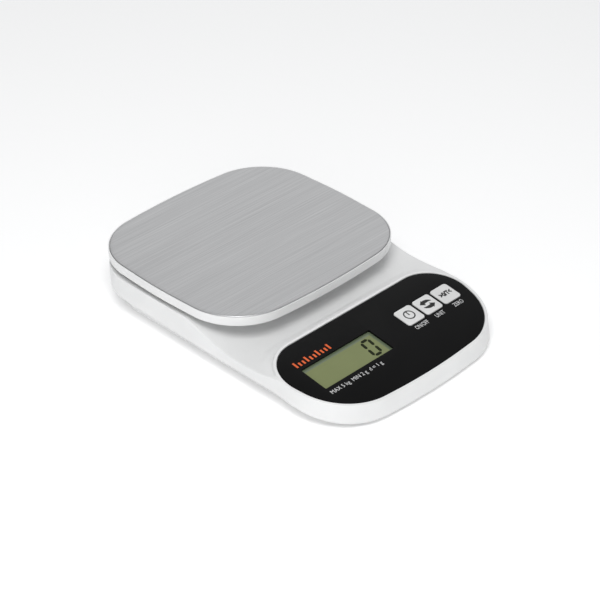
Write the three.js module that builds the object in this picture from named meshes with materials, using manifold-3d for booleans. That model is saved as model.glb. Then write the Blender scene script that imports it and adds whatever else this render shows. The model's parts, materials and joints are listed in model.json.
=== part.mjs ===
// Electronic kitchen scale: a stainless platter on a load cell, a white two-part housing and
// a tilted console with a display and three keys. Millimetres, +Z up, front towards -Y.
// The origin is the middle of the footprint's bounding box, on the surface it stands on.
import * as THREE from 'three';
import { mergeVertices } from 'three/addons/utils/BufferGeometryUtils.js';
import Module from 'manifold-3d';

const wasm = await Module();
wasm.setup();

// ---------------------------------------------------------------- driving dimensions

const LENGTH = 217;               // back of the tray to the front of the console
const HEIGHT = 36;                // surface it stands on to the top of the platter
const GAP = 0.3;                  // between pieces that touch on the real object

const BODY_WIDTH = 150;
const PLATTER_INSET = 0.15;       // platter's side behind the housing's side
const PLATTER_DEPTH = 134;
const PLATTER_CORNER = 37;
const SIDE_LEAN = 2.63;           // degrees that each half of a bowed side leans in
const SIDE_BOW_RADIUS = 320;
const END_LEAN = 4.66;
const END_BOW_RADIUS = 480;
const SHEET = 0.8;                // stainless sheet
const PAD = 0.4;                  // adhesive pad under the sheet
const PAD_INSET = 9;
const TRAY_LIP = 0.9;             // white lip round the sheet
const TRAY_BAND = 6;              // height of the tray's edge band
const TRAY_FLOOR = 2;
const TRAY_WALL = 2;
const SHEET_PROUD = 0.2;

const BODY_BACK_INSET = 1.6;      // back of the housing behind the back of the tray
const BODY_CORNER = 36;
const WAIST_RADIUS = 28;          // where the console's slanting side meets the long side
const WALL = 2.2;                 // housing and cover wall
const DECK_CLEARANCE = 3.8;       // air between the deck and the tray
const VALLEY_Z = 17.3;            // lowest line of the saddle between platter and console
const VALLEY_FROM_PANEL = 49.5;   // lowest line, from the panel's reference
const DECK_FALL = 20.6;           // the deck starts to fall this far in front of the platter's middle
const DECK_EASE = 14;             // length over which it is still nearly level
const CONSOLE_BACK = 17.5;        // where the saddle meets the console's plane, from the reference
const EDGE_FRONT_Z = 2.4;         // lower edge of the housing at the front
const EDGE_SIDE_Z = 10.8;         // lower edge along the sides
const EDGE_BACK_Z = 14;
const EDGE_RISE = 26.5;           // where the edge has reached that height, from the reference

const TILT = 7.65;                // degrees that the console falls to the front
const PANEL_Z = 17.4;             // top of the panel at its reference line
const PANEL_BACK_FLARE = 1.2;     // panel's back corners past the housing's side, before rounding
const PANEL_FRONT_TAPER = 10.1;   // panel's front corners inside the housing's side
const PANEL_BACK = 34.3;
const PANEL_SHOULDER = 26.8;
const PANEL_FRONT = 31.7;
const PANEL_BACK_CORNER = 23.6;
const PANEL_FRONT_CORNER = 37.3;
const PANEL_FRONT_BOW_RADIUS = 398;
const PANEL_THICK = 1.2;
const RIM = 2.2;                  // raised rim round the panel
const RIM_PROUD = 0.4;
const CONSOLE_FLARE = 1.5;        // the console's wall stands out this much at its foot
const SHELF = 1.8;                // housing wall under the panel
const SKIRT = 6;                  // radius of the hollow fillet behind the console

const LCD_FROM_CORNER = 34.6;     // display's middle from the panel's front left corner
const LCD_V = 5.4;                // along the panel from its reference, towards the back
const LCD_WINDOW = [55, 19.8];
const LCD_GLASS = [59, 25, 2.6];
const LCD_DEPTH = 1.6;            // glass face under the panel's face
const LCD_FRAME_WALL = 1.3;
const ZEBRA_WIDTH = 2;

const KEY_SIZE = 13.7;
const KEY_SPACING = 1.95;         // between keys
const KEY_MARGIN = 1.65;          // last key's edge from the panel's front right corner
const KEY_V = 9.5;
const KEY_PROUD = 0.5;
const KEY_CLEARANCE = 0.3;
const KEY_CORNER = 1.4;
const KEY_FLANGE = 0.65;          // flange past the cap on each side
const KEY_FLANGE_THICK = 0.8;
const KEY_TRAVEL = 0.4;
const KEY_NIB_RADIUS = 1.6;
const KEY_NAMES = ['power', 'unit', 'zero'];

const BOARD_DEPTH = 9;            // top of the board under the panel's face
const BOARD_THICK = 1.4;
const BOARD_INSET = 3.9;          // board's end from the panel's front corner
const BOARD_V = [-9, 26];
const SWITCH_SIZE = 6;
const SWITCH_HEIGHT = 3;
const BOARD_SCREWS = [[-48, 22.6], [8, 22.6], [8, -6.4], [34, -6.4]];

const COVER_BOTTOM = 2;
const COVER_FLOOR = 2;
const COVER_FOOT_INSET = 7.7;     // inset of the cover's foot from the housing outline
const COVER_TOP_INSET = 2.9;
const COVER_TOP = 16.5;
const FOOT_RADIUS = 7;
const FOOT_HEIGHT = 2.7;
const FOOT_RECESS = 1;
const REAR_FOOT_INSET = [23, 24.5];
const FRONT_FOOT_INSET = 20.9;    // from the panel's front corner
const REAR_SCREW_INSET = [18, 48.5];
const FRONT_SCREW_INSET = [17.9, 13.5];
const MIDDLE_SCREW_INSET = 21.5;  // in front of the panel's reference
const SCREW_COUNTERBORE = 2.5;

const CELL_LENGTH = 75;
const CELL_SECTION = 12.7;
const CELL_BOTTOM = 6.2;
const CELL_HOLE_END = 5;          // first screw hole from the end of the bar
const CELL_HOLE_PITCH = 15;
const CELL_BORE_RADIUS = 4.6;
const CELL_BORE_PITCH = 12;
const CELL_SLOT = 2;              // slot between the two bores
const POTTING_THICK = 0.7;
const STOP_RADIUS = 2;
const STOP_GAP = 0.7;             // free end's travel before it meets the overload stop
const LOWER_SPACER = 1.5;
const UPPER_SPACER = 1.2;
const SPACER_LENGTH = 25;
const SPIDER_THICK = 1.8;
const SPIDER_MARGIN = 6;
const POST_SPREAD = [64, 44];     // between the tray's posts, in X and in Y
const POST_RADIUS = 4.5;
const POST_HOLE_CLEARANCE = 1.5;

const AAA_RADIUS = 5.2;
const AAA_LENGTH = 44.5;
const AAA_NUB = 1;
const BATTERY_SPACING = 0.8;
const BATTERY_MARGIN = 1.9;       // between a cell and the bay's front or back wall
const SPRING_ROOM = 10.5;         // bay's length past a cell's
const BAY_BACK_FROM_TRAY = 19;    // back of the bay from the back of the tray
const BAY_HEADROOM = 0.7;
const DOOR_THICK = 1.6;
const CONTACT_THICK = 0.4;

const M4_SHANK = 1.95;
const M4_HEAD = 3.5;
const M3_SHANK = 1.35;
const M3_HEAD = 2.7;
const SCREW_CLEARANCE = 0.35;
const BOSS_WALL = 2.2;
const HOUSING_SCREW_LENGTH = 12;
const HOLE_ROOF = 1;              // material left above a blind screw hole

// ---------------------------------------------------------------- derived places

const rad = THREE.MathUtils.degToRad;
const tilt = rad(TILT);

// How much an arc takes off the sharp corner between two edges that each lean by lean.
function bowDrop(radius, lean) {
  return radius * (1 / Math.cos(lean) - 1);
}

const PLATTER_WIDTH = BODY_WIDTH - 2 * PLATTER_INSET;
const TRAY_DEPTH = PLATTER_DEPTH + 2 * TRAY_LIP;
const PLATTER_Y = LENGTH / 2 - TRAY_DEPTH / 2;
const SHEET_BOTTOM = HEIGHT - SHEET;
const PAD_TOP = SHEET_BOTTOM - GAP;
const TRAY_SEAT = PAD_TOP - PAD - GAP;
const TRAY_TOP = HEIGHT - SHEET_PROUD;
const TRAY_SCREW_SEAT = TRAY_SEAT - 1.9;
const TRAY_BOTTOM = TRAY_TOP - TRAY_BAND;
const DECK_TOP = TRAY_BOTTOM - DECK_CLEARANCE;
const DECK_UNDER = DECK_TOP - WALL;
const DECK_FRONT_Y = PLATTER_Y - DECK_FALL;

const PANEL_BACK_HALF = BODY_WIDTH / 2 + PANEL_BACK_FLARE;
const PANEL_FRONT_HALF = BODY_WIDTH / 2 - PANEL_FRONT_TAPER;
const CONSOLE_FOOT = RIM + CONSOLE_FLARE;
const FRONT_LEAN = Math.atan(((PANEL_FRONT - PANEL_SHOULDER) * Math.cos(tilt)) / PANEL_FRONT_HALF);
const PANEL_REACH = PANEL_FRONT * Math.cos(tilt) + CONSOLE_FOOT / Math.cos(FRONT_LEAN);
const PANEL_Y = -LENGTH / 2 + PANEL_REACH - bowDrop(PANEL_FRONT_BOW_RADIUS, FRONT_LEAN);
const VALLEY_Y = PANEL_Y + VALLEY_FROM_PANEL;
const CONSOLE_BACK_Y = PANEL_Y + CONSOLE_BACK;
const EDGE_RISE_Y = PANEL_Y + EDGE_RISE;
const SHELF_TOP = PANEL_THICK + GAP;
const SHELF_UNDER = SHELF_TOP + SHELF;
const COVER_INNER = COVER_BOTTOM + COVER_FLOOR;
const CELL_TOP = CELL_BOTTOM + CELL_SECTION;
const SPIDER_BOTTOM = CELL_TOP + GAP + UPPER_SPACER + GAP;
const SPIDER_TOP = SPIDER_BOTTOM + SPIDER_THICK;

const CELL_PITCH = 2 * AAA_RADIUS + BATTERY_SPACING;
const BAY = [AAA_LENGTH + SPRING_ROOM, 2 * AAA_RADIUS + CELL_PITCH + 2 * BATTERY_MARGIN];
const BAY_Y = LENGTH / 2 - BAY_BACK_FROM_TRAY - BAY[1] / 2;
const AAA_Z = COVER_INNER + GAP + AAA_RADIUS;
const BAY_HEIGHT = AAA_Z + AAA_RADIUS + BAY_HEADROOM;
const HINGE_Y = BAY_Y + BAY[1] / 2 - GAP - DOOR_THICK / 2;
const HINGE_Z = COVER_BOTTOM + DOOR_THICK / 2;

const LCD_X = -PANEL_FRONT_HALF + LCD_FROM_CORNER;
const KEY_PITCH = KEY_SIZE + KEY_SPACING;
const KEYS_X = PANEL_FRONT_HALF - KEY_MARGIN - KEY_SIZE / 2 - KEY_PITCH;
const BOARD_X = [-PANEL_FRONT_HALF + BOARD_INSET, PANEL_FRONT_HALF - BOARD_INSET];

function pair(x, y) {
  return [[-x, y], [x, y]];
}

const FEET = [
  ...pair(BODY_WIDTH / 2 - REAR_FOOT_INSET[0], LENGTH / 2 - REAR_FOOT_INSET[1]),
  ...pair(PANEL_FRONT_HALF - FRONT_FOOT_INSET, PANEL_Y),
];
const HOUSING_SCREWS = [
  ...pair(BODY_WIDTH / 2 - REAR_SCREW_INSET[0], LENGTH / 2 - REAR_SCREW_INSET[1]),
  ...pair(PANEL_FRONT_HALF - FRONT_SCREW_INSET[0], PANEL_Y - FRONT_SCREW_INSET[1]),
  [0, PANEL_Y - MIDDLE_SCREW_INSET],
];

// ---------------------------------------------------------------- small solid helpers

function solid(geometry) {
  const bare = geometry.clone();
  bare.deleteAttribute('normal');
  bare.deleteAttribute('uv');
  const merged = mergeVertices(bare, 1e-5);
  const mesh = new wasm.Mesh({
    numProp: 3,
    vertProperties: new Float32Array(merged.attributes.position.array),
    triVerts: new Uint32Array(merged.index.array),
  });
  return new wasm.Manifold(mesh);
}

function geometryOf(manifold) {
  const mesh = manifold.getMesh();
  const geometry = new THREE.BufferGeometry();
  geometry.setAttribute('position', new THREE.BufferAttribute(mesh.vertProperties, 3));
  geometry.setIndex(new THREE.BufferAttribute(mesh.triVerts, 1));
  return geometry;
}

function joined(parts) {
  return parts.reduce((whole, part) => whole.add(part));
}

function cut(whole, tools) {
  return tools.reduce((rest, tool) => rest.subtract(tool), whole);
}

function prism(points, low, high) {
  const options = { depth: high - low, bevelEnabled: false };
  const geometry = new THREE.ExtrudeGeometry(new THREE.Shape(points), options);
  return solid(geometry.translate(0, 0, low));
}

function block(width, depth, low, high, x = 0, y = 0) {
  const geometry = new THREE.BoxGeometry(width, depth, high - low);
  return solid(geometry.translate(x, y, (low + high) / 2));
}

function post(radius, low, high, x = 0, y = 0, sides = 18) {
  const geometry = new THREE.CylinderGeometry(radius, radius, high - low, sides);
  return solid(geometry.rotateX(Math.PI / 2).translate(x, y, (low + high) / 2));
}

function rodAlongX(radius, low, high, y, z, sides = 20) {
  const geometry = new THREE.CylinderGeometry(radius, radius, high - low, sides);
  return solid(geometry.rotateZ(-Math.PI / 2).translate((low + high) / 2, y, z));
}

function rodAlongY(radius, low, high, x, z, sides = 24) {
  const geometry = new THREE.CylinderGeometry(radius, radius, high - low, sides);
  return solid(geometry.translate(x, (low + high) / 2, z));
}

// A closed solid through rings of equal point count, capped at both ends.
function loft(rings) {
  const count = rings[0].length;
  const position = rings.flat().flatMap((p) => [p.x, p.y, p.z]);
  const index = [];
  for (let k = 0; k + 1 < rings.length; k += 1) {
    for (let i = 0; i < count; i += 1) {
      const a = k * count + i;
      const b = k * count + ((i + 1) % count);
      index.push(a, b, b + count, a, b + count, a + count);
    }
  }
  const flat = rings[0].map((p) => new THREE.Vector2(p.x, p.y));
  const last = (rings.length - 1) * count;
  for (const [a, b, c] of THREE.ShapeUtils.triangulateShape(flat, [])) {
    index.push(c, b, a);
    index.push(last + a, last + b, last + c);
  }
  const geometry = new THREE.BufferGeometry();
  geometry.setAttribute('position', new THREE.Float32BufferAttribute(position, 3));
  geometry.setIndex(index);
  return solid(geometry);
}

function ringAt(points, z) {
  return points.map((p) => new THREE.Vector3(p.x, p.y, z));
}

// Moves each edge of a counter-clockwise polygon outwards by its own offset.
function offsetCorners(corners, offsets) {
  const count = corners.length;
  const edges = corners.map((a, i) => {
    const b = corners[(i + 1) % count];
    const along = b.clone().sub(a).normalize();
    const out = new THREE.Vector2(along.y, -along.x);
    return { from: a.clone().addScaledVector(out, offsets[i]), along };
  });
  return corners.map((_, i) => crossing(edges[(i + count - 1) % count], edges[i]));
}

function crossing(one, two) {
  const apart = two.from.clone().sub(one.from);
  const turn = one.along.cross(two.along);
  return one.from.clone().addScaledVector(one.along, apart.cross(two.along) / turn);
}

// Points round a polygon whose corners are arcs of the given radii. Two arcs that would
// meet on one edge are both held to what the edge leaves them.
function rounded(corners, radii, step = 15) {
  const count = corners.length;
  const turns = corners.map((corner, i) => {
    const before = corners[(i + count - 1) % count].clone().sub(corner).normalize();
    const after = corners[(i + 1) % count].clone().sub(corner).normalize();
    const half = Math.acos(THREE.MathUtils.clamp(before.dot(after), -1, 1)) / 2;
    return { before, after, half, reach: radii[i] / Math.tan(half) };
  });
  const shares = turns.map(({ reach }, i) => {
    const next = (i + 1) % count;
    return Math.min(1, (0.99 * corners[i].distanceTo(corners[next])) / (reach + turns[next].reach));
  });
  const points = [];
  turns.forEach(({ before, after, half, reach }, i) => {
    const share = Math.min(shares[i], shares[(i + count - 1) % count]);
    const radius = radii[i] * share;
    const middle = before.clone().add(after).normalize();
    const centre = corners[i].clone().addScaledVector(middle, radius / Math.sin(half));
    const start = corners[i].clone().addScaledVector(before, reach * share).sub(centre).angle();
    const sweep = Math.PI - 2 * half;
    const steps = Math.max(2, Math.round(THREE.MathUtils.radToDeg(sweep) / step));
    for (let k = 0; k <= steps; k += 1) {
      const angle = start + (sweep * k) / steps;
      points.push(new THREE.Vector2(Math.cos(angle), Math.sin(angle)).multiplyScalar(radius).add(centre));
    }
  });
  return points;
}

function roundedBox(width, depth, corner, x = 0, y = 0) {
  const corners = [[-1, -1], [1, -1], [1, 1], [-1, 1]].map(
    ([sx, sy]) => new THREE.Vector2(x + (sx * width) / 2, y + (sy * depth) / 2),
  );
  return rounded(corners, [corner, corner, corner, corner], 30);
}

function mirrored(corners) {
  const left = corners.filter((p) => p.x > 0).map((p) => new THREE.Vector2(-p.x, p.y));
  return left.reverse();
}

// ---------------------------------------------------------------- outlines

// The platter's outline moved outwards by offset: four bowed sides and round corners.
function platterOutline(offset) {
  const side = Math.tan(rad(SIDE_LEAN));
  const end = Math.tan(rad(END_LEAN));
  const halfX = PLATTER_WIDTH / 2 + bowDrop(SIDE_BOW_RADIUS, rad(SIDE_LEAN));
  const halfY = PLATTER_DEPTH / 2 + bowDrop(END_BOW_RADIUS, rad(END_LEAN));
  const cornerX = (halfX - halfY * side) / (1 - side * end);
  const cornerY = halfY - cornerX * end;
  const plan = [
    [0, -halfY], [cornerX, -cornerY], [halfX, 0], [cornerX, cornerY],
    [0, halfY], [-cornerX, cornerY], [-halfX, 0], [-cornerX, -cornerY],
  ];
  const corners = plan.map(([x, y]) => new THREE.Vector2(x, PLATTER_Y + y));
  const grown = offsetCorners(corners, corners.map(() => offset));
  const radii = [END_BOW_RADIUS, PLATTER_CORNER, SIDE_BOW_RADIUS, PLATTER_CORNER];
  return rounded(grown, [...radii, ...radii].map((radius) => radius + offset));
}

function panelCorners(squash) {
  return [
    [0, -PANEL_FRONT], [PANEL_FRONT_HALF, -PANEL_SHOULDER], [PANEL_BACK_HALF, PANEL_BACK],
    [-PANEL_BACK_HALF, PANEL_BACK], [-PANEL_FRONT_HALF, -PANEL_SHOULDER],
  ].map(([x, v]) => new THREE.Vector2(x, v * squash));
}

const PANEL_RADII = [
  PANEL_FRONT_BOW_RADIUS, PANEL_FRONT_CORNER, PANEL_BACK_CORNER, PANEL_BACK_CORNER, PANEL_FRONT_CORNER,
];

// The panel's outline in its own plane, moved outwards by offset.
function panelOutline(offset) {
  const corners = panelCorners(1);
  const grown = offsetCorners(corners, corners.map(() => offset));
  return rounded(grown, PANEL_RADII.map((radius) => radius + offset));
}

// The housing's plan. consoleOffset moves the console's front and slanting sides,
// bodyOffset moves the long sides and the back.
function bodyOutline(consoleOffset, bodyOffset) {
  const foot = CONSOLE_FOOT;
  const footCorners = offsetCorners(panelCorners(Math.cos(tilt)), [foot, foot, foot, foot, foot]);
  const [front, shoulder, rear] = footCorners.map((p) => p.clone().add(new THREE.Vector2(0, PANEL_Y)));
  const lean = { from: shoulder, along: rear.clone().sub(shoulder).normalize() };
  const side = { from: new THREE.Vector2(BODY_WIDTH / 2, 0), along: new THREE.Vector2(0, 1) };
  const waist = crossing(lean, side);
  const backMost = LENGTH / 2 - BODY_BACK_INSET;
  const backY = backMost + bowDrop(END_BOW_RADIUS, rad(END_LEAN));
  const cornerY = backY - (BODY_WIDTH / 2) * Math.tan(rad(END_LEAN));
  const corner = new THREE.Vector2(BODY_WIDTH / 2, cornerY);
  const right = [shoulder, waist, corner];
  const corners = [front, ...right, new THREE.Vector2(0, backY), ...mirrored(right)];
  const c = consoleOffset;
  const b = bodyOffset;
  const grown = offsetCorners(corners, [c, c, b, b, b, b, c, c]);
  const shoulderRadius = PANEL_FRONT_CORNER + foot + c;
  const waistRadius = WAIST_RADIUS + b;
  const cornerRadius = BODY_CORNER + b;
  const half = [shoulderRadius, waistRadius, cornerRadius];
  const radii = [PANEL_FRONT_BOW_RADIUS, ...half, END_BOW_RADIUS, ...half.slice().reverse()];
  return rounded(grown, radii);
}

// Height of the console's plane, depth under the panel's face, at a plan place.
function consolePlane(y, depth) {
  return PANEL_Z + (y - PANEL_Y) * Math.tan(tilt) - depth / Math.cos(tilt);
}

function onConsole(manifold) {
  const geometry = geometryOf(manifold);
  return solid(geometry.rotateX(tilt).translate(0, PANEL_Y, PANEL_Z));
}

// ---------------------------------------------------------------- housing profile

// Side view of the housing's top, lowered by drop, and closed down at low.
// At the console it lies consoleDepth under the panel's face.
function topProfile(drop, consoleDepth, low) {
  const front = -LENGTH / 2 - 5;
  const back = LENGTH / 2 + 5;
  const rimZ = consolePlane(CONSOLE_BACK_Y, consoleDepth);
  const shape = new THREE.Shape();
  shape.moveTo(front, consolePlane(front, consoleDepth));
  shape.lineTo(front, low);
  shape.lineTo(back, low);
  shape.lineTo(back, DECK_TOP - drop);
  shape.lineTo(DECK_FRONT_Y, DECK_TOP - drop);
  const fall = DECK_FRONT_Y - VALLEY_Y;
  const rise = VALLEY_Y - CONSOLE_BACK_Y;
  shape.bezierCurveTo(
    DECK_FRONT_Y - DECK_EASE, DECK_TOP - drop,
    VALLEY_Y + 0.51 * fall, VALLEY_Z - drop,
    VALLEY_Y, VALLEY_Z - drop,
  );
  shape.bezierCurveTo(
    VALLEY_Y - 0.41 * rise, VALLEY_Z - drop,
    CONSOLE_BACK_Y + 0.31 * rise, rimZ + (VALLEY_Z - drop - rimZ) * 0.45,
    CONSOLE_BACK_Y, rimZ,
  );
  return alongX(shape);
}

// Everything above the housing's lower edge in side view.
function aboveLowerEdge() {
  const front = -LENGTH / 2;
  const shape = new THREE.Shape();
  shape.moveTo(front - 5, EDGE_FRONT_Z);
  shape.lineTo(front, EDGE_FRONT_Z);
  const rise = EDGE_RISE_Y - front;
  shape.bezierCurveTo(
    front + 0.28 * rise, EDGE_FRONT_Z,
    EDGE_RISE_Y - 0.33 * rise, EDGE_SIDE_Z - 0.8,
    EDGE_RISE_Y, EDGE_SIDE_Z,
  );
  shape.bezierCurveTo(0, EDGE_SIDE_Z, PLATTER_Y, EDGE_SIDE_Z + 0.4, LENGTH / 2, EDGE_BACK_Z);
  shape.lineTo(LENGTH / 2 + 5, EDGE_BACK_Z);
  shape.lineTo(LENGTH / 2 + 5, HEIGHT);
  shape.lineTo(front - 5, HEIGHT);
  return alongX(shape);
}

// Turns a side-view shape (Y, Z) into a solid across the full width.
function alongX(shape) {
  const width = BODY_WIDTH + 20;
  const geometry = new THREE.ExtrudeGeometry(shape, { depth: width, bevelEnabled: false, curveSegments: 6 });
  geometry.rotateX(Math.PI / 2).rotateZ(Math.PI / 2);
  return solid(geometry.translate(-width / 2, 0, 0));
}

// ---------------------------------------------------------------- platter group

function platterSheet() {
  return prism(platterOutline(0), SHEET_BOTTOM, HEIGHT);
}

function platterPad() {
  const holes = postPlaces().map(([x, y]) => post(M3_HEAD + 1.2, 0, HEIGHT, x, y, 12));
  return cut(prism(platterOutline(-PAD_INSET), PAD_TOP - PAD, PAD_TOP), holes);
}

function postPlaces() {
  const [dx, dy] = POST_SPREAD;
  return [[-1, -1], [1, -1], [1, 1], [-1, 1]].map(([sx, sy]) => [(sx * dx) / 2, PLATTER_Y + (sy * dy) / 2]);
}

function platterTray() {
  const floorUnder = TRAY_SEAT - TRAY_FLOOR;
  let tray = prism(platterOutline(TRAY_LIP), TRAY_BOTTOM, TRAY_TOP);
  tray = tray.subtract(prism(platterOutline(GAP), TRAY_SEAT, TRAY_TOP + 1));
  tray = tray.subtract(prism(platterOutline(TRAY_LIP - TRAY_WALL), TRAY_BOTTOM - 1, floorUnder));
  for (const [x, y] of postPlaces()) {
    tray = tray.add(post(POST_RADIUS, SPIDER_TOP + GAP, TRAY_SEAT, x, y));
    tray = tray.subtract(post(M3_SHANK + SCREW_CLEARANCE, SPIDER_TOP, TRAY_SEAT + 1, x, y, 12));
    tray = tray.subtract(post(M3_HEAD + SCREW_CLEARANCE, TRAY_SCREW_SEAT - GAP, TRAY_SEAT + 1, x, y, 16));
  }
  return tray;
}

// Pan-head screw pointing down (dir -1) or up (dir 1), head's seat at z.
function screw(shank, head, headHeight, length, z, dir, x, y) {
  const [headLow, headHigh] = dir < 0 ? [z, z + headHeight] : [z - headHeight, z];
  const [shankLow, shankHigh] = dir < 0 ? [z - length, z + headHeight / 2] : [z - headHeight / 2, z + length];
  const slotZ = dir < 0 ? headHigh : headLow;
  const slot = headHeight * 0.45;
  const body = post(head, headLow, headHigh, x, y, 12).add(post(shank, shankLow, shankHigh, x, y, 8));
  const cross = [
    block(head * 1.1, 0.8, slotZ - slot, slotZ + slot, x, y),
    block(0.8, head * 1.1, slotZ - slot, slotZ + slot, x, y),
  ];
  return cut(body, cross);
}

function platterScrew([x, y]) {
  const length = TRAY_SCREW_SEAT - SPIDER_BOTTOM + 1;
  return screw(M3_SHANK, M3_HEAD, 1.6, length, TRAY_SCREW_SEAT, -1, x, y);
}

function cellHoles(side) {
  const first = CELL_LENGTH / 2 - CELL_HOLE_END;
  return [side * first, side * (first - CELL_HOLE_PITCH)];
}

// Pressed steel bracket: a rounded plate with two long lightening slots.
function spider() {
  const [dx, dy] = POST_SPREAD;
  const width = Math.max(dx + 2 * SPIDER_MARGIN, CELL_LENGTH + 6);
  const depth = dy + 2 * SPIDER_MARGIN;
  let plate = prism(roundedBox(width, depth, 8, 0, PLATTER_Y), SPIDER_BOTTOM, SPIDER_TOP);
  for (const side of [-1, 1]) {
    const y = PLATTER_Y + side * (CELL_SECTION / 2 + 7.5);
    plate = plate.subtract(prism(roundedBox(dx - 18, 9, 4, 0, y), SPIDER_BOTTOM - 1, SPIDER_TOP + 1));
  }
  const holes = postPlaces().map(([x, y]) => post(M3_SHANK + SCREW_CLEARANCE, 0, HEIGHT, x, y, 12));
  const load = cellHoles(1).map((x) => post(M4_SHANK + SCREW_CLEARANCE, 0, HEIGHT, x, PLATTER_Y, 12));
  return cut(plate, [...holes, ...load]);
}

function spacer(side, low, high) {
  const x = (side * (CELL_LENGTH - SPACER_LENGTH)) / 2;
  const holes = cellHoles(side).map((hx) => post(M4_SHANK + SCREW_CLEARANCE, 0, HEIGHT, hx, PLATTER_Y, 12));
  return cut(block(SPACER_LENGTH, CELL_SECTION, low, high, x, PLATTER_Y), holes);
}

// ---------------------------------------------------------------- load cell

function loadCell() {
  const middle = CELL_BOTTOM + CELL_SECTION / 2;
  const y0 = PLATTER_Y - CELL_SECTION;
  const y1 = PLATTER_Y + CELL_SECTION;
  const bar = block(CELL_LENGTH, CELL_SECTION, CELL_BOTTOM, CELL_TOP, 0, PLATTER_Y);
  const bores = [-1, 1].map((side) => {
    return rodAlongY(CELL_BORE_RADIUS, y0, y1, (side * CELL_BORE_PITCH) / 2, middle);
  });
  const [slotLow, slotHigh] = [middle - CELL_SLOT / 2, middle + CELL_SLOT / 2];
  const slot = block(CELL_BORE_PITCH, 2 * CELL_SECTION, slotLow, slotHigh, 0, PLATTER_Y);
  const holes = [...cellHoles(-1), ...cellHoles(1)];
  const screws = holes.map((x) => post(M4_SHANK + SCREW_CLEARANCE, 0, HEIGHT, x, PLATTER_Y, 12));
  return cut(bar, [...bores, slot, ...screws]);
}

// White silicone over the strain gauges, on the bar's top or bottom.
function gaugePotting(side) {
  const face = side > 0 ? CELL_TOP + GAP : CELL_BOTTOM - GAP - POTTING_THICK;
  const outline = roundedBox(2 * CELL_BORE_PITCH, CELL_SECTION - 3, 3, 0, PLATTER_Y);
  return prism(outline, face, face + POTTING_THICK);
}

function lowerCellScrew(x) {
  const seat = COVER_BOTTOM + SCREW_COUNTERBORE - GAP;
  return screw(M4_SHANK, M4_HEAD, 2, CELL_BOTTOM - seat + 6, seat, 1, x, PLATTER_Y);
}

function upperCellScrew(x) {
  const seat = SPIDER_TOP + GAP;
  return screw(M4_SHANK, M4_HEAD, 1.8, seat - CELL_TOP + 6, seat, -1, x, PLATTER_Y);
}

const STOP_X = CELL_LENGTH / 2 - CELL_HOLE_END - CELL_HOLE_PITCH / 2;

// Set screw that the bar's free end meets when the scale is overloaded.
function overloadStop() {
  return post(STOP_RADIUS, COVER_BOTTOM + GAP, CELL_BOTTOM - STOP_GAP, STOP_X, PLATTER_Y, 12);
}

// ---------------------------------------------------------------- upper housing

// How far the console's wall has drawn in at height z, where it is lowest.
function consoleFlare(z) {
  const rise = (z - EDGE_FRONT_Z) / (consolePlane(-LENGTH / 2, 0) - EDGE_FRONT_Z);
  return -CONSOLE_FLARE * THREE.MathUtils.clamp(rise, 0, 1);
}

// The housing's full block. The console's wall draws in by the flare up to the panel's plane.
function bodyBlock(inset) {
  const foot = bodyOutline(-inset, -inset);
  const drawn = bodyOutline(-CONSOLE_FLARE - inset, -inset);
  const rim = drawn.map((p) => new THREE.Vector3(p.x, p.y, Math.min(consolePlane(p.y, 0), DECK_TOP)));
  return loft([ringAt(foot, -4), ringAt(foot, EDGE_FRONT_Z), rim, ringAt(drawn, HEIGHT)]);
}

// The pad under the console: the rim's outline with a hollow fillet down to the saddle.
function consolePad() {
  const steps = 4;
  const rings = [ringAt(panelOutline(RIM + SKIRT), -SKIRT - 8)];
  for (let k = steps; k >= 0; k -= 1) {
    const angle = (k / steps) * (Math.PI / 2);
    const out = SKIRT * (1 - Math.cos(angle));
    rings.push(ringAt(panelOutline(RIM + out), RIM_PROUD - 0.6 - SKIRT * Math.sin(angle)));
  }
  rings.push(ringAt(panelOutline(RIM - 0.35), RIM_PROUD));
  return onConsole(loft(rings));
}

function upperHousing() {
  let shell = bodyBlock(0).intersect(topProfile(0, -RIM_PROUD + 0.6, -10));
  shell = shell.add(consolePad().intersect(bodyBlock(0))).intersect(aboveLowerEdge());
  const padHollow = onConsole(prism(panelOutline(-1), -40, -SHELF_UNDER));
  const hollow = topProfile(WALL, SHELF_UNDER, -10).add(padHollow).intersect(bodyBlock(WALL));
  shell = shell.subtract(hollow);
  shell = shell.subtract(onConsole(prism(panelOutline(GAP), -SHELF_TOP, 5)));
  const [glassX, glassV] = LCD_GLASS;
  const windows = [prism(roundedBox(glassX + 1, glassV + 1, 0.8, LCD_X, LCD_V), -SHELF_UNDER - 1, 0)];
  const opening = KEY_SIZE + 2 * KEY_CLEARANCE;
  for (const x of keyPlaces()) {
    windows.push(prism(roundedBox(opening, opening, KEY_CORNER, x, KEY_V), -SHELF_UNDER - 1, 0));
  }
  shell = cut(shell, windows.map(onConsole));
  shell = shell.add(housingBosses()).add(boardBosses());
  const holes = HOUSING_SCREWS.map(([x, y]) => {
    return post(M3_SHANK + SCREW_CLEARANCE, -1, bossRoof(y) - HOLE_ROOF, x, y, 12);
  });
  for (const [x, v] of BOARD_SCREWS) {
    holes.push(onConsole(post(1 + 0.2, -BOARD_DEPTH, -SHELF_UNDER - 1.2, x, v, 12)));
  }
  const clear = POST_RADIUS + POST_HOLE_CLEARANCE;
  holes.push(...postPlaces().map(([x, y]) => post(clear, DECK_UNDER - 2, DECK_TOP + 1, x, y)));
  holes.push(...cellHoles(1).map((x) => post(M4_HEAD + 1.2, DECK_UNDER - 2, DECK_TOP + 1, x, PLATTER_Y)));
  return cut(shell, holes);
}

// Underside of the housing above a boss.
function bossRoof(y) {
  return y > 0 ? DECK_UNDER : consolePlane(y, SHELF_UNDER);
}

const BOSS_FOOT = COVER_INNER + 3.3;
const COVER_BOSS_RADIUS = M3_HEAD + SCREW_CLEARANCE + 1.6;

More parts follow.
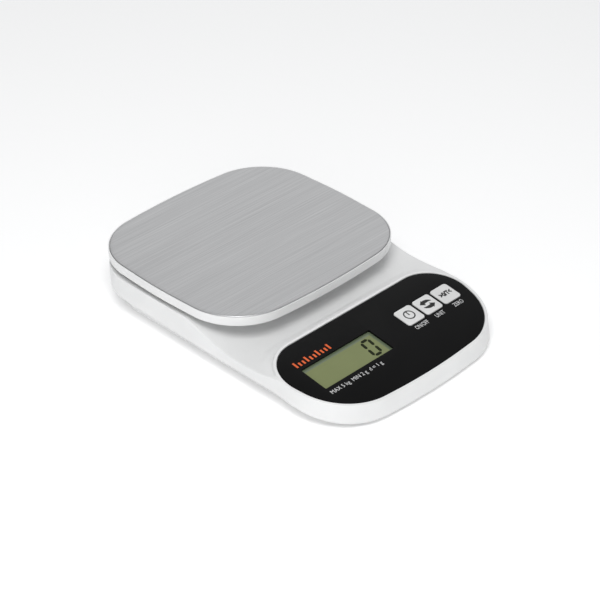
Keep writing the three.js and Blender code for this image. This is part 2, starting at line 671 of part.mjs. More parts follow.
function housingBosses() {
  const radius = M3_SHANK + SCREW_CLEARANCE + BOSS_WALL;
  return joined(HOUSING_SCREWS.map(([x, y]) => post(radius, BOSS_FOOT + GAP, bossRoof(y) + 0.6, x, y)));
}

function boardBosses() {
  const foot = -BOARD_DEPTH + GAP;
  return joined(BOARD_SCREWS.map(([x, v]) => onConsole(post(2.4, foot, -SHELF_UNDER + 0.6, x, v, 12))));
}

function housingScrew([x, y]) {
  const seat = COVER_BOTTOM + SCREW_COUNTERBORE - GAP;
  const length = Math.min(HOUSING_SCREW_LENGTH, bossRoof(y) - HOLE_ROOF - GAP - seat);
  return screw(M3_SHANK, M3_HEAD, 1.8, length, seat, 1, x, y);
}

// ---------------------------------------------------------------- bottom cover and feet

function coverTub(shrink, low) {
  const levels = [
    [low, COVER_FOOT_INSET],
    [(COVER_BOTTOM + EDGE_SIDE_Z) / 2, (COVER_FOOT_INSET + COVER_TOP_INSET) / 2 + 0.7],
    [EDGE_SIDE_Z, COVER_TOP_INSET + 0.6],
    [EDGE_SIDE_Z + 2.5, COVER_TOP_INSET],
    [COVER_TOP + shrink, COVER_TOP_INSET],
  ];
  return loft(levels.map(([z, inset]) => {
    const drawn = -inset - shrink;
    return ringAt(bodyOutline(consoleFlare(z) + drawn, drawn), z);
  }));
}

function bottomCover() {
  let cover = coverTub(0, COVER_BOTTOM).intersect(topProfile(WALL + 0.5, SHELF_UNDER + 0.5, -10));
  cover = cover.subtract(coverTub(WALL - 0.4, COVER_INNER));
  const bayRoof = BAY_HEIGHT + COVER_FLOOR - 0.5;
  const padTop = CELL_BOTTOM - GAP - LOWER_SPACER - GAP;
  const padX = -(CELL_LENGTH - SPACER_LENGTH) / 2;
  const bosses = [
    block(BAY[0] + 3, BAY[1] + 3, COVER_INNER - 1, bayRoof, 0, BAY_Y),
    block(SPACER_LENGTH + 4, CELL_SECTION + 4, COVER_INNER - 1, padTop, padX, PLATTER_Y),
    post(STOP_RADIUS + BOSS_WALL, COVER_INNER - 1, CELL_BOTTOM - 2, STOP_X, PLATTER_Y),
    ...HOUSING_SCREWS.map(([x, y]) => post(COVER_BOSS_RADIUS, COVER_INNER - 1, BOSS_FOOT, x, y)),
    ...FEET.map(([x, y]) => post(FOOT_RADIUS + 1.5, COVER_INNER - 1, COVER_INNER + 0.6, x, y)),
  ];
  cover = joined([cover, ...bosses]);
  const cuts = [
    block(BAY[0], BAY[1], COVER_BOTTOM - 1, BAY_HEIGHT, 0, BAY_Y),
    post(STOP_RADIUS + GAP, COVER_BOTTOM - 1, CELL_BOTTOM, STOP_X, PLATTER_Y, 12),
    ...FEET.map(([x, y]) => post(FOOT_RADIUS + GAP, COVER_BOTTOM - 1, COVER_BOTTOM + FOOT_RECESS, x, y)),
  ];
  const counterbore = COVER_BOTTOM + SCREW_COUNTERBORE;
  for (const x of cellHoles(-1)) {
    cuts.push(post(M4_SHANK + SCREW_CLEARANCE, COVER_BOTTOM - 1, CELL_BOTTOM, x, PLATTER_Y, 12));
    cuts.push(post(M4_HEAD + SCREW_CLEARANCE, COVER_BOTTOM - 1, counterbore, x, PLATTER_Y, 16));
  }
  for (const [x, y] of HOUSING_SCREWS) {
    cuts.push(post(M3_SHANK + SCREW_CLEARANCE, COVER_BOTTOM - 1, BOSS_FOOT + 1, x, y, 12));
    cuts.push(post(M3_HEAD + SCREW_CLEARANCE, COVER_BOTTOM - 1, counterbore, x, y, 16));
  }
  // Notch where the two battery leads leave the bay.
  cuts.push(block(4, 3, BAY_HEIGHT - 3, BAY_HEIGHT + 5, BAY[0] / 2 + 0.5, BAY_Y - BAY[1] / 2 + 4));
  cuts.push(block(4, 3, BAY_HEIGHT - 3, BAY_HEIGHT + 5, BAY[0] / 2 + 0.5, BAY_Y + BAY[1] / 2 - 4));
  return cut(cover, cuts);
}

function foot([x, y]) {
  const profile = [[0, 0], [FOOT_RADIUS - 1.4, 0], [FOOT_RADIUS - 0.3, 0.9], [FOOT_RADIUS, FOOT_HEIGHT]];
  const points = [...profile, [0, FOOT_HEIGHT]].map(([r, z]) => new THREE.Vector2(r, z));
  const geometry = new THREE.LatheGeometry(points, 28);
  return solid(geometry.rotateX(Math.PI / 2).translate(x, y, 0));
}

// ---------------------------------------------------------------- battery bay

// Door hinged along its back edge, which is a half round about the hinge axis.
function batteryDoor() {
  const width = BAY[0] - 2 * GAP;
  const depth = BAY[1] - 2 * GAP - DOOR_THICK / 2;
  const low = COVER_BOTTOM;
  const plate = block(width, depth, low, low + DOOR_THICK, 0, HINGE_Y - depth / 2);
  const barrel = rodAlongX(DOOR_THICK / 2, -width / 2, width / 2, HINGE_Y, HINGE_Z, 16);
  const ribs = [-1, 1].map((side) => {
    return block(1.2, depth - 9, low + 1, low + DOOR_THICK + 0.5, (side * width) / 4, HINGE_Y - depth / 2);
  });
  const pull = block(13, 2.4, low - 1, low + 0.7, 0, HINGE_Y - depth + 3.2);
  return cut(joined([plate, barrel, ...ribs]), [pull]);
}

// One AAA cell lying along X. dir is the way its positive end points.
function batteryCell(y, dir) {
  const half = AAA_LENGTH / 2;
  const profile = [
    [0, -half], [AAA_RADIUS - 0.6, -half], [AAA_RADIUS, -half + 0.6], [AAA_RADIUS, half - AAA_NUB - 0.6],
    [AAA_RADIUS - 0.6, half - AAA_NUB], [1.9, half - AAA_NUB], [1.9, half], [0, half],
  ].map(([r, t]) => new THREE.Vector2(r, t));
  const geometry = new THREE.LatheGeometry(profile, 24);
  geometry.rotateZ(-dir * (Math.PI / 2));
  return solid(geometry.translate(dir * CELL_SHIFT, y, AAA_Z));
}

const CELL_SHIFT = 2;
const CONTACT_X = BAY[0] / 2 - GAP - CONTACT_THICK;
const BATTERY_Y = [BAY_Y - CELL_PITCH / 2, BAY_Y + CELL_PITCH / 2];

class ConeSpring extends THREE.Curve {
  constructor(from, to, turns, wide, narrow) {
    super();
    Object.assign(this, { from, to, turns, wide, narrow });
  }

  getPoint(t, target = new THREE.Vector3()) {
    const angle = 2 * Math.PI * this.turns * t;
    const radius = this.wide + (this.narrow - this.wide) * t;
    const along = this.from + (this.to - this.from) * t;
    return target.set(along, radius * Math.cos(angle), radius * Math.sin(angle));
  }
}

// Coil between a contact plate and a cell's negative end. side is the plate's end of the bay.
function contactSpring(y, side) {
  const wire = 0.35;
  const plate = side * (CONTACT_X + CONTACT_THICK / 2);
  const cell = side * (AAA_LENGTH / 2 - CELL_SHIFT + GAP + wire);
  const section = new THREE.Shape().absarc(0, 0, wire, 0, 2 * Math.PI);
  const path = new ConeSpring(plate, cell, 3.5, 3.6, 2.2);
  const geometry = new THREE.ExtrudeGeometry(section, { steps: 28, extrudePath: path, curveSegments: 3 });
  return solid(geometry.translate(0, y, AAA_Z));
}

function contactPlate(side, y, width) {
  const x = side * (CONTACT_X + CONTACT_THICK / 2);
  return block(CONTACT_THICK, width, AAA_Z - 4.6, AAA_Z + 4.6, x, y);
}

// Raised dimple that meets a cell's positive end.
function contactDimple(y, side) {
  const inner = AAA_LENGTH / 2 + CELL_SHIFT + GAP;
  const ends = [side * inner, side * (CONTACT_X + CONTACT_THICK / 2)].sort((a, b) => a - b);
  return rodAlongX(2, ends[0], ends[1], y, AAA_Z, 12);
}

function contactBridge() {
  const [low, high] = BATTERY_Y;
  const plate = contactPlate(-1, (low + high) / 2, CELL_PITCH + 9);
  return joined([plate, contactSpring(low, -1), contactDimple(high, -1)]);
}

function contactPositive() {
  return contactPlate(1, BATTERY_Y[0], 9).add(contactDimple(BATTERY_Y[0], 1));
}

function contactNegative() {
  return contactPlate(1, BATTERY_Y[1], 9).add(contactSpring(BATTERY_Y[1], 1));
}

// ---------------------------------------------------------------- console pieces
// These are modelled in the console's own frame: X across, Y along the panel, Z out of it.

function keyPlaces() {
  return KEY_NAMES.map((_, i) => KEYS_X + (i - 1) * KEY_PITCH);
}

function consolePanel() {
  const opening = KEY_SIZE + 2 * KEY_CLEARANCE;
  const windows = keyPlaces().map((x) => prism(roundedBox(opening, opening, KEY_CORNER, x, KEY_V), -5, 5));
  windows.push(prism(roundedBox(LCD_WINDOW[0], LCD_WINDOW[1], 0.6, LCD_X, LCD_V), -5, 5));
  return cut(prism(panelOutline(0), -PANEL_THICK, 0), windows);
}

const FLANGE_TOP = -SHELF_UNDER - GAP;
const FLANGE_BOTTOM = FLANGE_TOP - KEY_FLANGE_THICK;
const SWITCH_BOTTOM = -BOARD_DEPTH + GAP;
const SWITCH_TOP = SWITCH_BOTTOM + SWITCH_HEIGHT;
const PLUNGER_TOP = SWITCH_TOP + KEY_TRAVEL + 0.25;
const PLUNGER_SUNK = 0.7;

// Square cap on a wider flange, with a round nib under it.
function key(x) {
  const flange = KEY_SIZE + 2 * KEY_FLANGE;
  const cap = prism(roundedBox(KEY_SIZE, KEY_SIZE, KEY_CORNER, x, KEY_V), FLANGE_BOTTOM, KEY_PROUD);
  const base = prism(roundedBox(flange, flange, KEY_CORNER, x, KEY_V), FLANGE_BOTTOM, FLANGE_TOP);
  const nib = post(KEY_NIB_RADIUS, PLUNGER_TOP + GAP, FLANGE_BOTTOM + 0.4, x, KEY_V, 12);
  return joined([cap, base, nib]);
}

function tactSwitch(x) {
  const well = SWITCH_TOP - PLUNGER_SUNK - KEY_TRAVEL - GAP;
  const body = block(SWITCH_SIZE, SWITCH_SIZE, SWITCH_BOTTOM, SWITCH_TOP, x, KEY_V);
  return body.subtract(post(KEY_NIB_RADIUS + GAP, well, SWITCH_TOP + 1, x, KEY_V, 12));
}

function plunger(x) {
  return post(KEY_NIB_RADIUS, SWITCH_TOP - PLUNGER_SUNK, PLUNGER_TOP, x, KEY_V, 12);
}

function displayGlass() {
  const [width, depth, thick] = LCD_GLASS;
  return block(width, depth, -LCD_DEPTH - thick, -LCD_DEPTH, LCD_X, LCD_V);
}

const FRAME_TOP = -LCD_DEPTH - LCD_GLASS[2] - GAP;

function displayFrame() {
  const [width, depth] = LCD_GLASS;
  const grow = 2 * LCD_FRAME_WALL;
  const outer = prism(roundedBox(width + grow, depth + grow, 1, LCD_X, LCD_V), SWITCH_BOTTOM, FRAME_TOP);
  return outer.subtract(block(width, depth, -20, 0, LCD_X, LCD_V));
}

function zebraStrip(side) {
  const v = LCD_V + side * (LCD_GLASS[1] / 2 - ZEBRA_WIDTH / 2 - GAP);
  return block(LCD_GLASS[0] - 2 * GAP - 2, ZEBRA_WIDTH, SWITCH_BOTTOM, FRAME_TOP, LCD_X, v);
}

const BOARD_UNDER = -BOARD_DEPTH - BOARD_THICK;

function mainBoard() {
  const [x0, x1] = BOARD_X;
  const [v0, v1] = BOARD_V;
  const outline = roundedBox(x1 - x0, v1 - v0, 2, (x0 + x1) / 2, (v0 + v1) / 2);
  const holes = BOARD_SCREWS.map(([x, v]) => post(1.3, -20, 0, x, v, 12));
  return cut(prism(outline, BOARD_UNDER, -BOARD_DEPTH), holes);
}

function boardScrew([x, v]) {
  return screw(1, 1.9, 1.2, 5.5, BOARD_UNDER - GAP, 1, x, v);
}

// Black resin dome over the controller chip, on the board's underside.
function chipBlob() {
  const profile = [[0, 0], [5.4, 0], [5, -0.7], [3.6, -1.25], [1.8, -1.5], [0, -1.5]];
  const points = profile.reverse().map(([r, z]) => new THREE.Vector2(r, z));
  const geometry = new THREE.LatheGeometry(points, 20);
  return solid(geometry.rotateX(Math.PI / 2).translate(LCD_X + 10, LCD_V, BOARD_UNDER - GAP));
}

// ---------------------------------------------------------------- inner wiring

const LEAD_RADIUS = 0.6;
const CELL_CABLE_RADIUS = 1.1;

// Place under the board, in the scale's frame, where a lead ends.
function boardEnd(x, v) {
  const y = PANEL_Y + v * Math.cos(tilt);
  return [x, y, consolePlane(y, BOARD_DEPTH + BOARD_THICK) - 0.8];
}

function lead(radius, places, sides, steps) {
  const path = new THREE.CatmullRomCurve3(places.map((p) => new THREE.Vector3(...p)), false, 'centripetal');
  const section = new THREE.Shape().absarc(0, 0, radius, 0, 2 * Math.PI);
  return solid(new THREE.ExtrudeGeometry(section, { steps, extrudePath: path, curveSegments: sides / 2 }));
}

function batteryLead(y, side, endX) {
  const out = BAY[0] / 2;
  const end = boardEnd(endX, BOARD_V[1] - 4);
  const along = (share) => THREE.MathUtils.lerp(PLATTER_Y, end[1], share);
  return lead(LEAD_RADIUS, [
    [out + 0.3, y, BAY_HEIGHT - 1.6], [out + 4, y, BAY_HEIGHT - 2], [out + 12 + 2 * side, y - 10, 10],
    [out + 18 + 2 * side, PLATTER_Y + 4, 8], [out + 17 + 2 * side, along(0.26), 7],
    [out + 10 + 2 * side, along(0.56), 7], [endX + 3, along(0.8), 7],
    [endX, end[1] + 5, 7.4], [endX, end[1] + 1, end[2] - 1.4], end,
  ], 6, 28);
}

function cellCable() {
  const face = PLATTER_Y - CELL_SECTION / 2 - GAP;
  const x = -CELL_BORE_PITCH - 2;
  const end = boardEnd(x - 6, BOARD_V[1] - 4);
  const along = (share) => THREE.MathUtils.lerp(PLATTER_Y, end[1], share);
  return lead(CELL_CABLE_RADIUS, [
    [x, face, 11], [x, face - 3, 10.6], [x - 1, face - 12, 8], [x - 2, along(0.43), 7.2],
    [x - 4, along(0.69), 7],
    [x - 6, end[1] + 6, 7], [x - 6, end[1] + 1, end[2] - 1.8], end,
  ], 8, 26);
}

// ---------------------------------------------------------------- assembly

const WHITE = [0xf0f0ee, 0.35, 0];
const STEEL = [0xb4b4b6, 0.3, 1];
const ZINC = [0xa8abb0, 0.4, 1];
const ALUMINIUM = [0xc3c6ca, 0.4, 1];
const BLACK = [0x0a0a0b, 0.3, 0];
const KEY_GREY = [0xd3d5d6, 0.6, 0];
const RUBBER = [0x3a3b3c, 0.9, 0];

const scale = new THREE.Group();
const consoleGroup = new THREE.Group();
consoleGroup.position.set(0, PANEL_Y, PANEL_Z);
consoleGroup.rotation.x = tilt;
scale.add(consoleGroup);

function place(name, manifold, [color, roughness, metalness], parent = scale) {
  const material = new THREE.MeshStandardMaterial({ color, roughness, metalness });
  const mesh = new THREE.Mesh(geometryOf(manifold), material);
  mesh.name = name;
  parent.add(mesh);
}

function placeEach(name, items, make, finish, parent = scale) {
  items.forEach((item, i) => place(`${name}_${i + 1}`, make(item), finish, parent));
}

place('platter_sheet', platterSheet(), STEEL);
place('platter_pad', platterPad(), [0xe8e4d0, 0.9, 0]);
place('platter_tray', platterTray(), WHITE);
placeEach('platter_screw', postPlaces(), platterScrew, ZINC);
place('platter_spider', spider(), ZINC);
place('upper_spacer', spacer(1, CELL_TOP + GAP, CELL_TOP + GAP + UPPER_SPACER), ZINC);
placeEach('upper_cell_screw', cellHoles(1), upperCellScrew, ZINC);

place('load_cell', loadCell(), ALUMINIUM);
place('gauge_potting_upper', gaugePotting(1), [0xe6e6e2, 0.7, 0]);
place('gauge_potting_lower', gaugePotting(-1), [0xe6e6e2, 0.7, 0]);
const spacerTop = CELL_BOTTOM - GAP;
place('lower_spacer', spacer(-1, spacerTop - LOWER_SPACER, spacerTop), ZINC);
placeEach('lower_cell_screw', cellHoles(-1), lowerCellScrew, ZINC);
place('overload_stop', overloadStop(), ZINC);

place('upper_housing', upperHousing(), WHITE);
place('bottom_cover', bottomCover(), WHITE);
placeEach('housing_screw', HOUSING_SCREWS, housingScrew, ZINC);
placeEach('foot', FEET, foot, RUBBER);

place('battery_door', batteryDoor(), WHITE);
place('battery_1', batteryCell(BATTERY_Y[0], 1), [0x2c5f8a, 0.4, 0.2]);
place('battery_2', batteryCell(BATTERY_Y[1], -1), [0x2c5f8a, 0.4, 0.2]);
place('contact_bridge', contactBridge(), ZINC);
place('contact_positive', contactPositive(), ZINC);
place('contact_negative', contactNegative(), ZINC);

place('console_panel', consolePanel(), BLACK, consoleGroup);
KEY_NAMES.forEach((name, i) => {
  const x = keyPlaces()[i];
  place(`key_${name}`, key(x), KEY_GREY, consoleGroup);
  place(`switch_${name}`, tactSwitch(x), BLACK, consoleGroup);
  place(`plunger_${name}`, plunger(x), [0xe2e2dc, 0.5, 0], consoleGroup);
});
place('display_glass', displayGlass(), [0x7d875a, 0.15, 0], consoleGroup);
place('display_frame', displayFrame(), WHITE, consoleGroup);
place('zebra_strip_front', zebraStrip(-1), [0xb8a8a0, 0.8, 0], consoleGroup);
place('zebra_strip_back', zebraStrip(1), [0xb8a8a0, 0.8, 0], consoleGroup);
place('main_board', mainBoard(), [0x2e6b3c, 0.5, 0], consoleGroup);
place('chip_blob', chipBlob(), BLACK, consoleGroup);
placeEach('board_screw', BOARD_SCREWS, boardScrew, ZINC, consoleGroup);

place('battery_lead_red', batteryLead(BAY_Y - BAY[1] / 2 + 4, 0, 20), [0xb02020, 0.6, 0]);
place('battery_lead_black', batteryLead(BAY_Y + BAY[1] / 2 - 4, 1, 26), BLACK);
place('cell_cable', cellCable(), [0xd8d8d6, 0.6, 0]);

export default scale;
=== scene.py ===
import json
import math

import bmesh
import bpy
import numpy as np
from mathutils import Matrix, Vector


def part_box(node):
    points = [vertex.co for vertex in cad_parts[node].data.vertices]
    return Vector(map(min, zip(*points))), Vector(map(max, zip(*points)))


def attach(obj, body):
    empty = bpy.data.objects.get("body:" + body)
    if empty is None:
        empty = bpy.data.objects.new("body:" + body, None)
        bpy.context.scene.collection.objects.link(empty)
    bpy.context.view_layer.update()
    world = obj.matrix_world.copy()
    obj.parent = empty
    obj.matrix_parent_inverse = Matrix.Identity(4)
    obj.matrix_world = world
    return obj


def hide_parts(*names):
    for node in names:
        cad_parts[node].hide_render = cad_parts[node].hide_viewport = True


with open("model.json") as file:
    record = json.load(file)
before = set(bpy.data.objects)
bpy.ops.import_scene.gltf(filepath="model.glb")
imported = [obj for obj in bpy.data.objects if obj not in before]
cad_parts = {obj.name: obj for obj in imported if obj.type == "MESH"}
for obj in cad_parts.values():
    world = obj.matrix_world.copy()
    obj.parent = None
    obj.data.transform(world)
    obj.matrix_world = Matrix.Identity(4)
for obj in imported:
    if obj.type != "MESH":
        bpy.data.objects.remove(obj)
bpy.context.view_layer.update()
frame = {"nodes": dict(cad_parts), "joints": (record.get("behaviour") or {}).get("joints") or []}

nodes = frame["nodes"]

# ------------------------------------------------------------------------ studio
# A pale floor that glows faintly, a soft key light high on the front left, a lower one beside
# it, a broad fill from the back right and a bright surround. The camera is a long lens above
# the front left corner.
scene = bpy.context.scene
scene.view_settings.view_transform = "Standard"

floor_mesh = bpy.data.meshes.new("studio_floor")
floor_reach = 6.0
floor_mesh.from_pydata(
    [(sx * floor_reach, sy * floor_reach, -0.0002) for sx, sy in ((-1, -1), (1, -1), (1, 1), (-1, 1))],
    [],
    [(0, 1, 2, 3)],
)
studio_floor = bpy.data.objects.new("studio_floor", floor_mesh)
scene.collection.objects.link(studio_floor)
floor_paint = bpy.data.materials.new("floor_paint")
floor_paint.use_nodes = True
floor_shader = floor_paint.node_tree.nodes["Principled BSDF"]
floor_shader.inputs["Base Color"].default_value = (0.93, 0.93, 0.93, 1)
floor_shader.inputs["Roughness"].default_value = 0.9
floor_shader.inputs["Emission Color"].default_value = (1, 1, 1, 1)
floor_shader.inputs["Emission Strength"].default_value = 0.2
floor_mesh.materials.append(floor_paint)

world = bpy.data.worlds.new("white_surround")
world.use_nodes = True
world_nodes, world_links = world.node_tree.nodes, world.node_tree.links
lit = world_nodes["Background"]
lit.inputs["Color"].default_value = (0.89, 0.9, 0.91, 1)
lit.inputs["Strength"].default_value = 0.5
seen = world_nodes.new("ShaderNodeBackground")
seen.inputs["Color"].default_value = (1, 1, 1, 1)
seen.inputs["Strength"].default_value = 1.0
ray = world_nodes.new("ShaderNodeLightPath")
either = world_nodes.new("ShaderNodeMixShader")
world_links.new(ray.outputs["Is Camera Ray"], either.inputs["Fac"])
world_links.new(lit.outputs["Background"], either.inputs[1])
world_links.new(seen.outputs["Background"], either.inputs[2])
world_links.new(either.outputs["Shader"], world_nodes["World Output"].inputs["Surface"])
scene.world = world


def softbox(name, place, target, size, watts):
    """A square area light at place, facing target."""
    light = bpy.data.lights.new(name, "AREA")
    light.size = size
    light.energy = watts
    lamp = bpy.data.objects.new(name, light)
    lamp.location = place
    away = Vector(target) - Vector(place)
    lamp.rotation_euler = away.to_track_quat("-Z", "Y").to_euler()
    scene.collection.objects.link(lamp)


softbox("overhead", (-0.5, -0.42, 1.1), (0, 0, 0), 0.55, 8.2)
softbox("front_left", (-1.1, -0.85, 0.5), (0, -0.03, 0.01), 0.6, 1.6)
softbox("back_right", (0.95, 0.95, 0.85), (0, 0, 0.02), 1.0, 0.9)

camera = bpy.data.cameras.new("camera")
camera.lens = 120.34
camera.sensor_width = 36
viewpoint = bpy.data.objects.new("camera", camera)
viewpoint.location = (-0.69393, -0.69343, 0.67449)
viewpoint.rotation_euler = (math.radians(55.899), 0, math.radians(-45.069))
scene.collection.objects.link(viewpoint)
scene.camera = viewpoint

# ------------------------------------------------------------------------ platter
# The platter is a flat stainless sheet with a rolled edge, brushed from side to side and
# glued into a shallow white tray that leaves a thin lip round it.
MM = 0.001
GAP = 0.3


def outline(corners, radii, turn=3.0, step=2.0):
    """Arcs at a polygon's corners, joined by straight runs: points, then outward normals."""
    corners, radii = np.asarray(corners, float), np.asarray(radii, float)
    before = np.roll(corners, 1, 0) - corners
    after = np.roll(corners, -1, 0) - corners
    before /= np.linalg.norm(before, axis=1)[:, None]
    after /= np.linalg.norm(after, axis=1)[:, None]
    half = np.arccos(np.clip((before * after).sum(1), -1, 1)) / 2
    middle = before + after
    middle /= np.linalg.norm(middle, axis=1)[:, None]
    centre = corners + middle * (radii / np.sin(half))[:, None]
    reach = (radii / np.tan(half))[:, None]
    spoke = corners + before * reach - centre
    sweep = math.pi - 2 * half
    points, normals = [], []
    for i in range(len(corners)):
        count = max(2, round(math.degrees(sweep[i]) / turn), round(sweep[i] * radii[i] / step))
        angle = math.atan2(spoke[i, 1], spoke[i, 0]) + sweep[i] * np.linspace(0, 1, count + 1)
        ray_out = np.stack([np.cos(angle), np.sin(angle)], 1)
        arc = centre[i] + radii[i] * ray_out
        j = (i + 1) % len(corners)
        stop = corners[j] + before[j] * reach[j]
        share = np.linspace(0, 1, max(1, round(np.linalg.norm(stop - arc[-1]) / step)) + 1)[1:-1]
        points += [arc, arc[-1] + (stop - arc[-1]) * share[:, None]]
        normals += [ray_out, np.repeat(ray_out[-1:], len(share), 0)]
    return np.concatenate(points), np.concatenate(normals)


def mirrored(right):
    """A polygon's right-hand corners moved to the left, in the order that goes on round it."""
    return [(-x, y) for x, y in reversed(right)]


def bow_drop(radius, lean):
    """How much an arc takes off the sharp corner between two edges that each lean by lean degrees."""
    return radius * (1 / math.cos(math.radians(lean)) - 1)


def band(rings, first=None, last=None):
    """Quads between closed rings (K, N, 3), with a fan to a point at either end: vertices, then faces."""
    rings = np.asarray(rings, float)
    levels, count = rings.shape[:2]
    points = rings.reshape(-1, 3)
    k, i = np.meshgrid(np.arange(levels - 1), np.arange(count), indexing="ij")
    a, b = k * count + i, k * count + (i + 1) % count
    faces = np.stack([a, b, b + count, a + count], -1).reshape(-1, 4).tolist()
    ring = np.arange(count)
    if first is not None:
        points = np.vstack([points, first])
        tip = np.full(count, len(points) - 1)
        faces += np.stack([tip, (ring + 1) % count, ring], 1).tolist()
    if last is not None:
        points = np.vstack([points, last])
        tip = np.full(count, len(points) - 1)
        top = (levels - 1) * count
        faces += np.stack([tip, top + ring, top + (ring + 1) % count], 1).tolist()
    return points, faces


def piece(name, parts, material, body, stands_for=(), sharp=32, weld=True):
    """One object from several (vertices, faces) in millimetres, smooth up to the sharp angle."""
    points, faces, start = [], [], 0
    for part_points, part_faces in parts:
        points.append(np.asarray(part_points, float))
        faces += [[start + v for v in face] for face in part_faces]
        start += len(part_points)
    mesh = bpy.data.meshes.new(name)
    mesh.from_pydata((np.concatenate(points) * MM).tolist(), [], faces)
    made = bmesh.new()
    made.from_mesh(mesh)
    if weld:
        bmesh.ops.remove_doubles(made, verts=made.verts, dist=2e-6)
    bmesh.ops.recalc_face_normals(made, faces=made.faces)
    made.to_mesh(mesh)
    made.free()
    mesh.shade_smooth()
    mesh.set_sharp_from_angle(angle=math.radians(sharp))
    mesh.materials.append(material)
    shown = bpy.data.objects.new(name, mesh)
    scene.collection.objects.link(shown)
    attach(shown, body)
    if stands_for:
        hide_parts(*stands_for)
    return shown


def finish_of(name, color, roughness, metallic=0.0):
    """A material with a Principled shader at these plain values: material, nodes, links, shader."""
    made = bpy.data.materials.new(name)
    made.use_nodes = True
    shader = made.node_tree.nodes["Principled BSDF"]
    shader.inputs["Base Color"].default_value = (*color, 1)
    shader.inputs["Roughness"].default_value = roughness
    shader.inputs["Metallic"].default_value = metallic
    return made, made.node_tree.nodes, made.node_tree.links, shader


def group_of(name, inputs, outputs):
    """An empty shader node group with these value inputs (name: default) and outputs."""
    made = bpy.data.node_groups.new(name, "ShaderNodeTree")
    made.interface.new_socket("Vector", in_out="INPUT", socket_type="NodeSocketVector")
    for label, value in inputs.items():
        made.interface.new_socket(label, in_out="INPUT", socket_type="NodeSocketFloat").default_value = value
    for label in outputs:
        made.interface.new_socket(label, in_out="OUTPUT", socket_type="NodeSocketFloat")
    return made, made.nodes.new("NodeGroupInput"), made.nodes.new("NodeGroupOutput")


def sums(tree, operation, one, two, three=None):
    """A Math node in tree; each operand is a socket or a number. Returns its output."""
    node = tree.nodes.new("ShaderNodeMath")
    node.operation = operation
    for slot_index, operand in enumerate((one, two, three)):
        if isinstance(operand, (int, float)):
            node.inputs[slot_index].default_value = operand
        elif operand is not None:
            tree.links.new(operand, node.inputs[slot_index])
    return node.outputs[0]


# Brushing: fine streaks that run along X. Tone is around 0.5, Roughness follows it.
brushing, brush_in, brush_out = group_of(
    "brushing", {"Fineness": 2600.0, "Length": 14.0, "Rough": 0.3, "Spread": 0.1}, ("Tone", "Roughness")
)
stretch = brushing.nodes.new("ShaderNodeCombineXYZ")
brushing.links.new(brush_in.outputs["Length"], stretch.inputs["X"])
brushing.links.new(brush_in.outputs["Fineness"], stretch.inputs["Y"])
brushing.links.new(brush_in.outputs["Fineness"], stretch.inputs["Z"])
stretched = brushing.nodes.new("ShaderNodeVectorMath")
stretched.operation = "MULTIPLY"
brushing.links.new(brush_in.outputs["Vector"], stretched.inputs[0])
brushing.links.new(stretch.outputs["Vector"], stretched.inputs[1])
streaks = brushing.nodes.new("ShaderNodeTexNoise")
streaks.inputs["Scale"].default_value = 1.0
streaks.inputs["Detail"].default_value = 4.0
streaks.inputs["Roughness"].default_value = 0.7
brushing.links.new(stretched.outputs["Vector"], streaks.inputs["Vector"])
brushing.links.new(streaks.outputs["Fac"], brush_out.inputs["Tone"])
around = sums(brushing, "SUBTRACT", streaks.outputs["Fac"], 0.5)
rough_swing = sums(brushing, "MULTIPLY_ADD", around, brush_in.outputs["Spread"], brush_in.outputs["Rough"])
brushing.links.new(rough_swing, brush_out.inputs["Roughness"])


def place_group(tree, group, values):
    """Puts a node group in a material, fed with Object coordinates and these values."""
    node = tree.nodes.new("ShaderNodeGroup")
    node.node_tree = group
    where = tree.nodes.new("ShaderNodeTexCoord")
    tree.links.new(where.outputs["Object"], node.inputs["Vector"])
    for label, value in values.items():
        node.inputs[label].default_value = value
    return node


def tinted(tree, shader, factor, dark, light, low=0.3, high=0.7):
    """Colours the shader's base between dark and light as factor goes from low to high."""
    ramp = tree.nodes.new("ShaderNodeValToRGB")
    ramp.color_ramp.elements[0].position = low
    ramp.color_ramp.elements[0].color = (*dark, 1)
    ramp.color_ramp.elements[1].position = high
    ramp.color_ramp.elements[1].color = (*light, 1)
    tree.links.new(factor, ramp.inputs["Fac"])
    tree.links.new(ramp.outputs["Color"], shader.inputs["Base Color"])


def bumped(tree, shader, height, distance, strength=1.0):
    """Feeds a height value to the shader's normal, distance in metres for a height of 1."""
    bump = tree.nodes.new("ShaderNodeBump")
    bump.inputs["Distance"].default_value = distance
    bump.inputs["Strength"].default_value = strength
    tree.links.new(height, bump.inputs["Height"])
    tree.links.new(bump.outputs["Normal"], shader.inputs["Normal"])


def brushed(name, dark, light, rough, spread, fineness=2600.0, length=14.0, relief=2e-6):
    """A brushed metal whose streaks run from dark to light."""
    made, _, _, shader = finish_of(name, light, rough, 1.0)
    streak = place_group(
        made.node_tree, brushing, {"Fineness": fineness, "Length": length, "Rough": rough, "Spread": spread}
    )
    made.node_tree.links.new(streak.outputs["Roughness"], shader.inputs["Roughness"])
    tinted(made.node_tree, shader, streak.outputs["Tone"], dark, light)
    bumped(made.node_tree, shader, streak.outputs["Tone"], relief)
    return made


brushed_steel = brushed("brushed_steel", (0.56, 0.56, 0.565), (0.77, 0.77, 0.775), 0.36, 0.12)

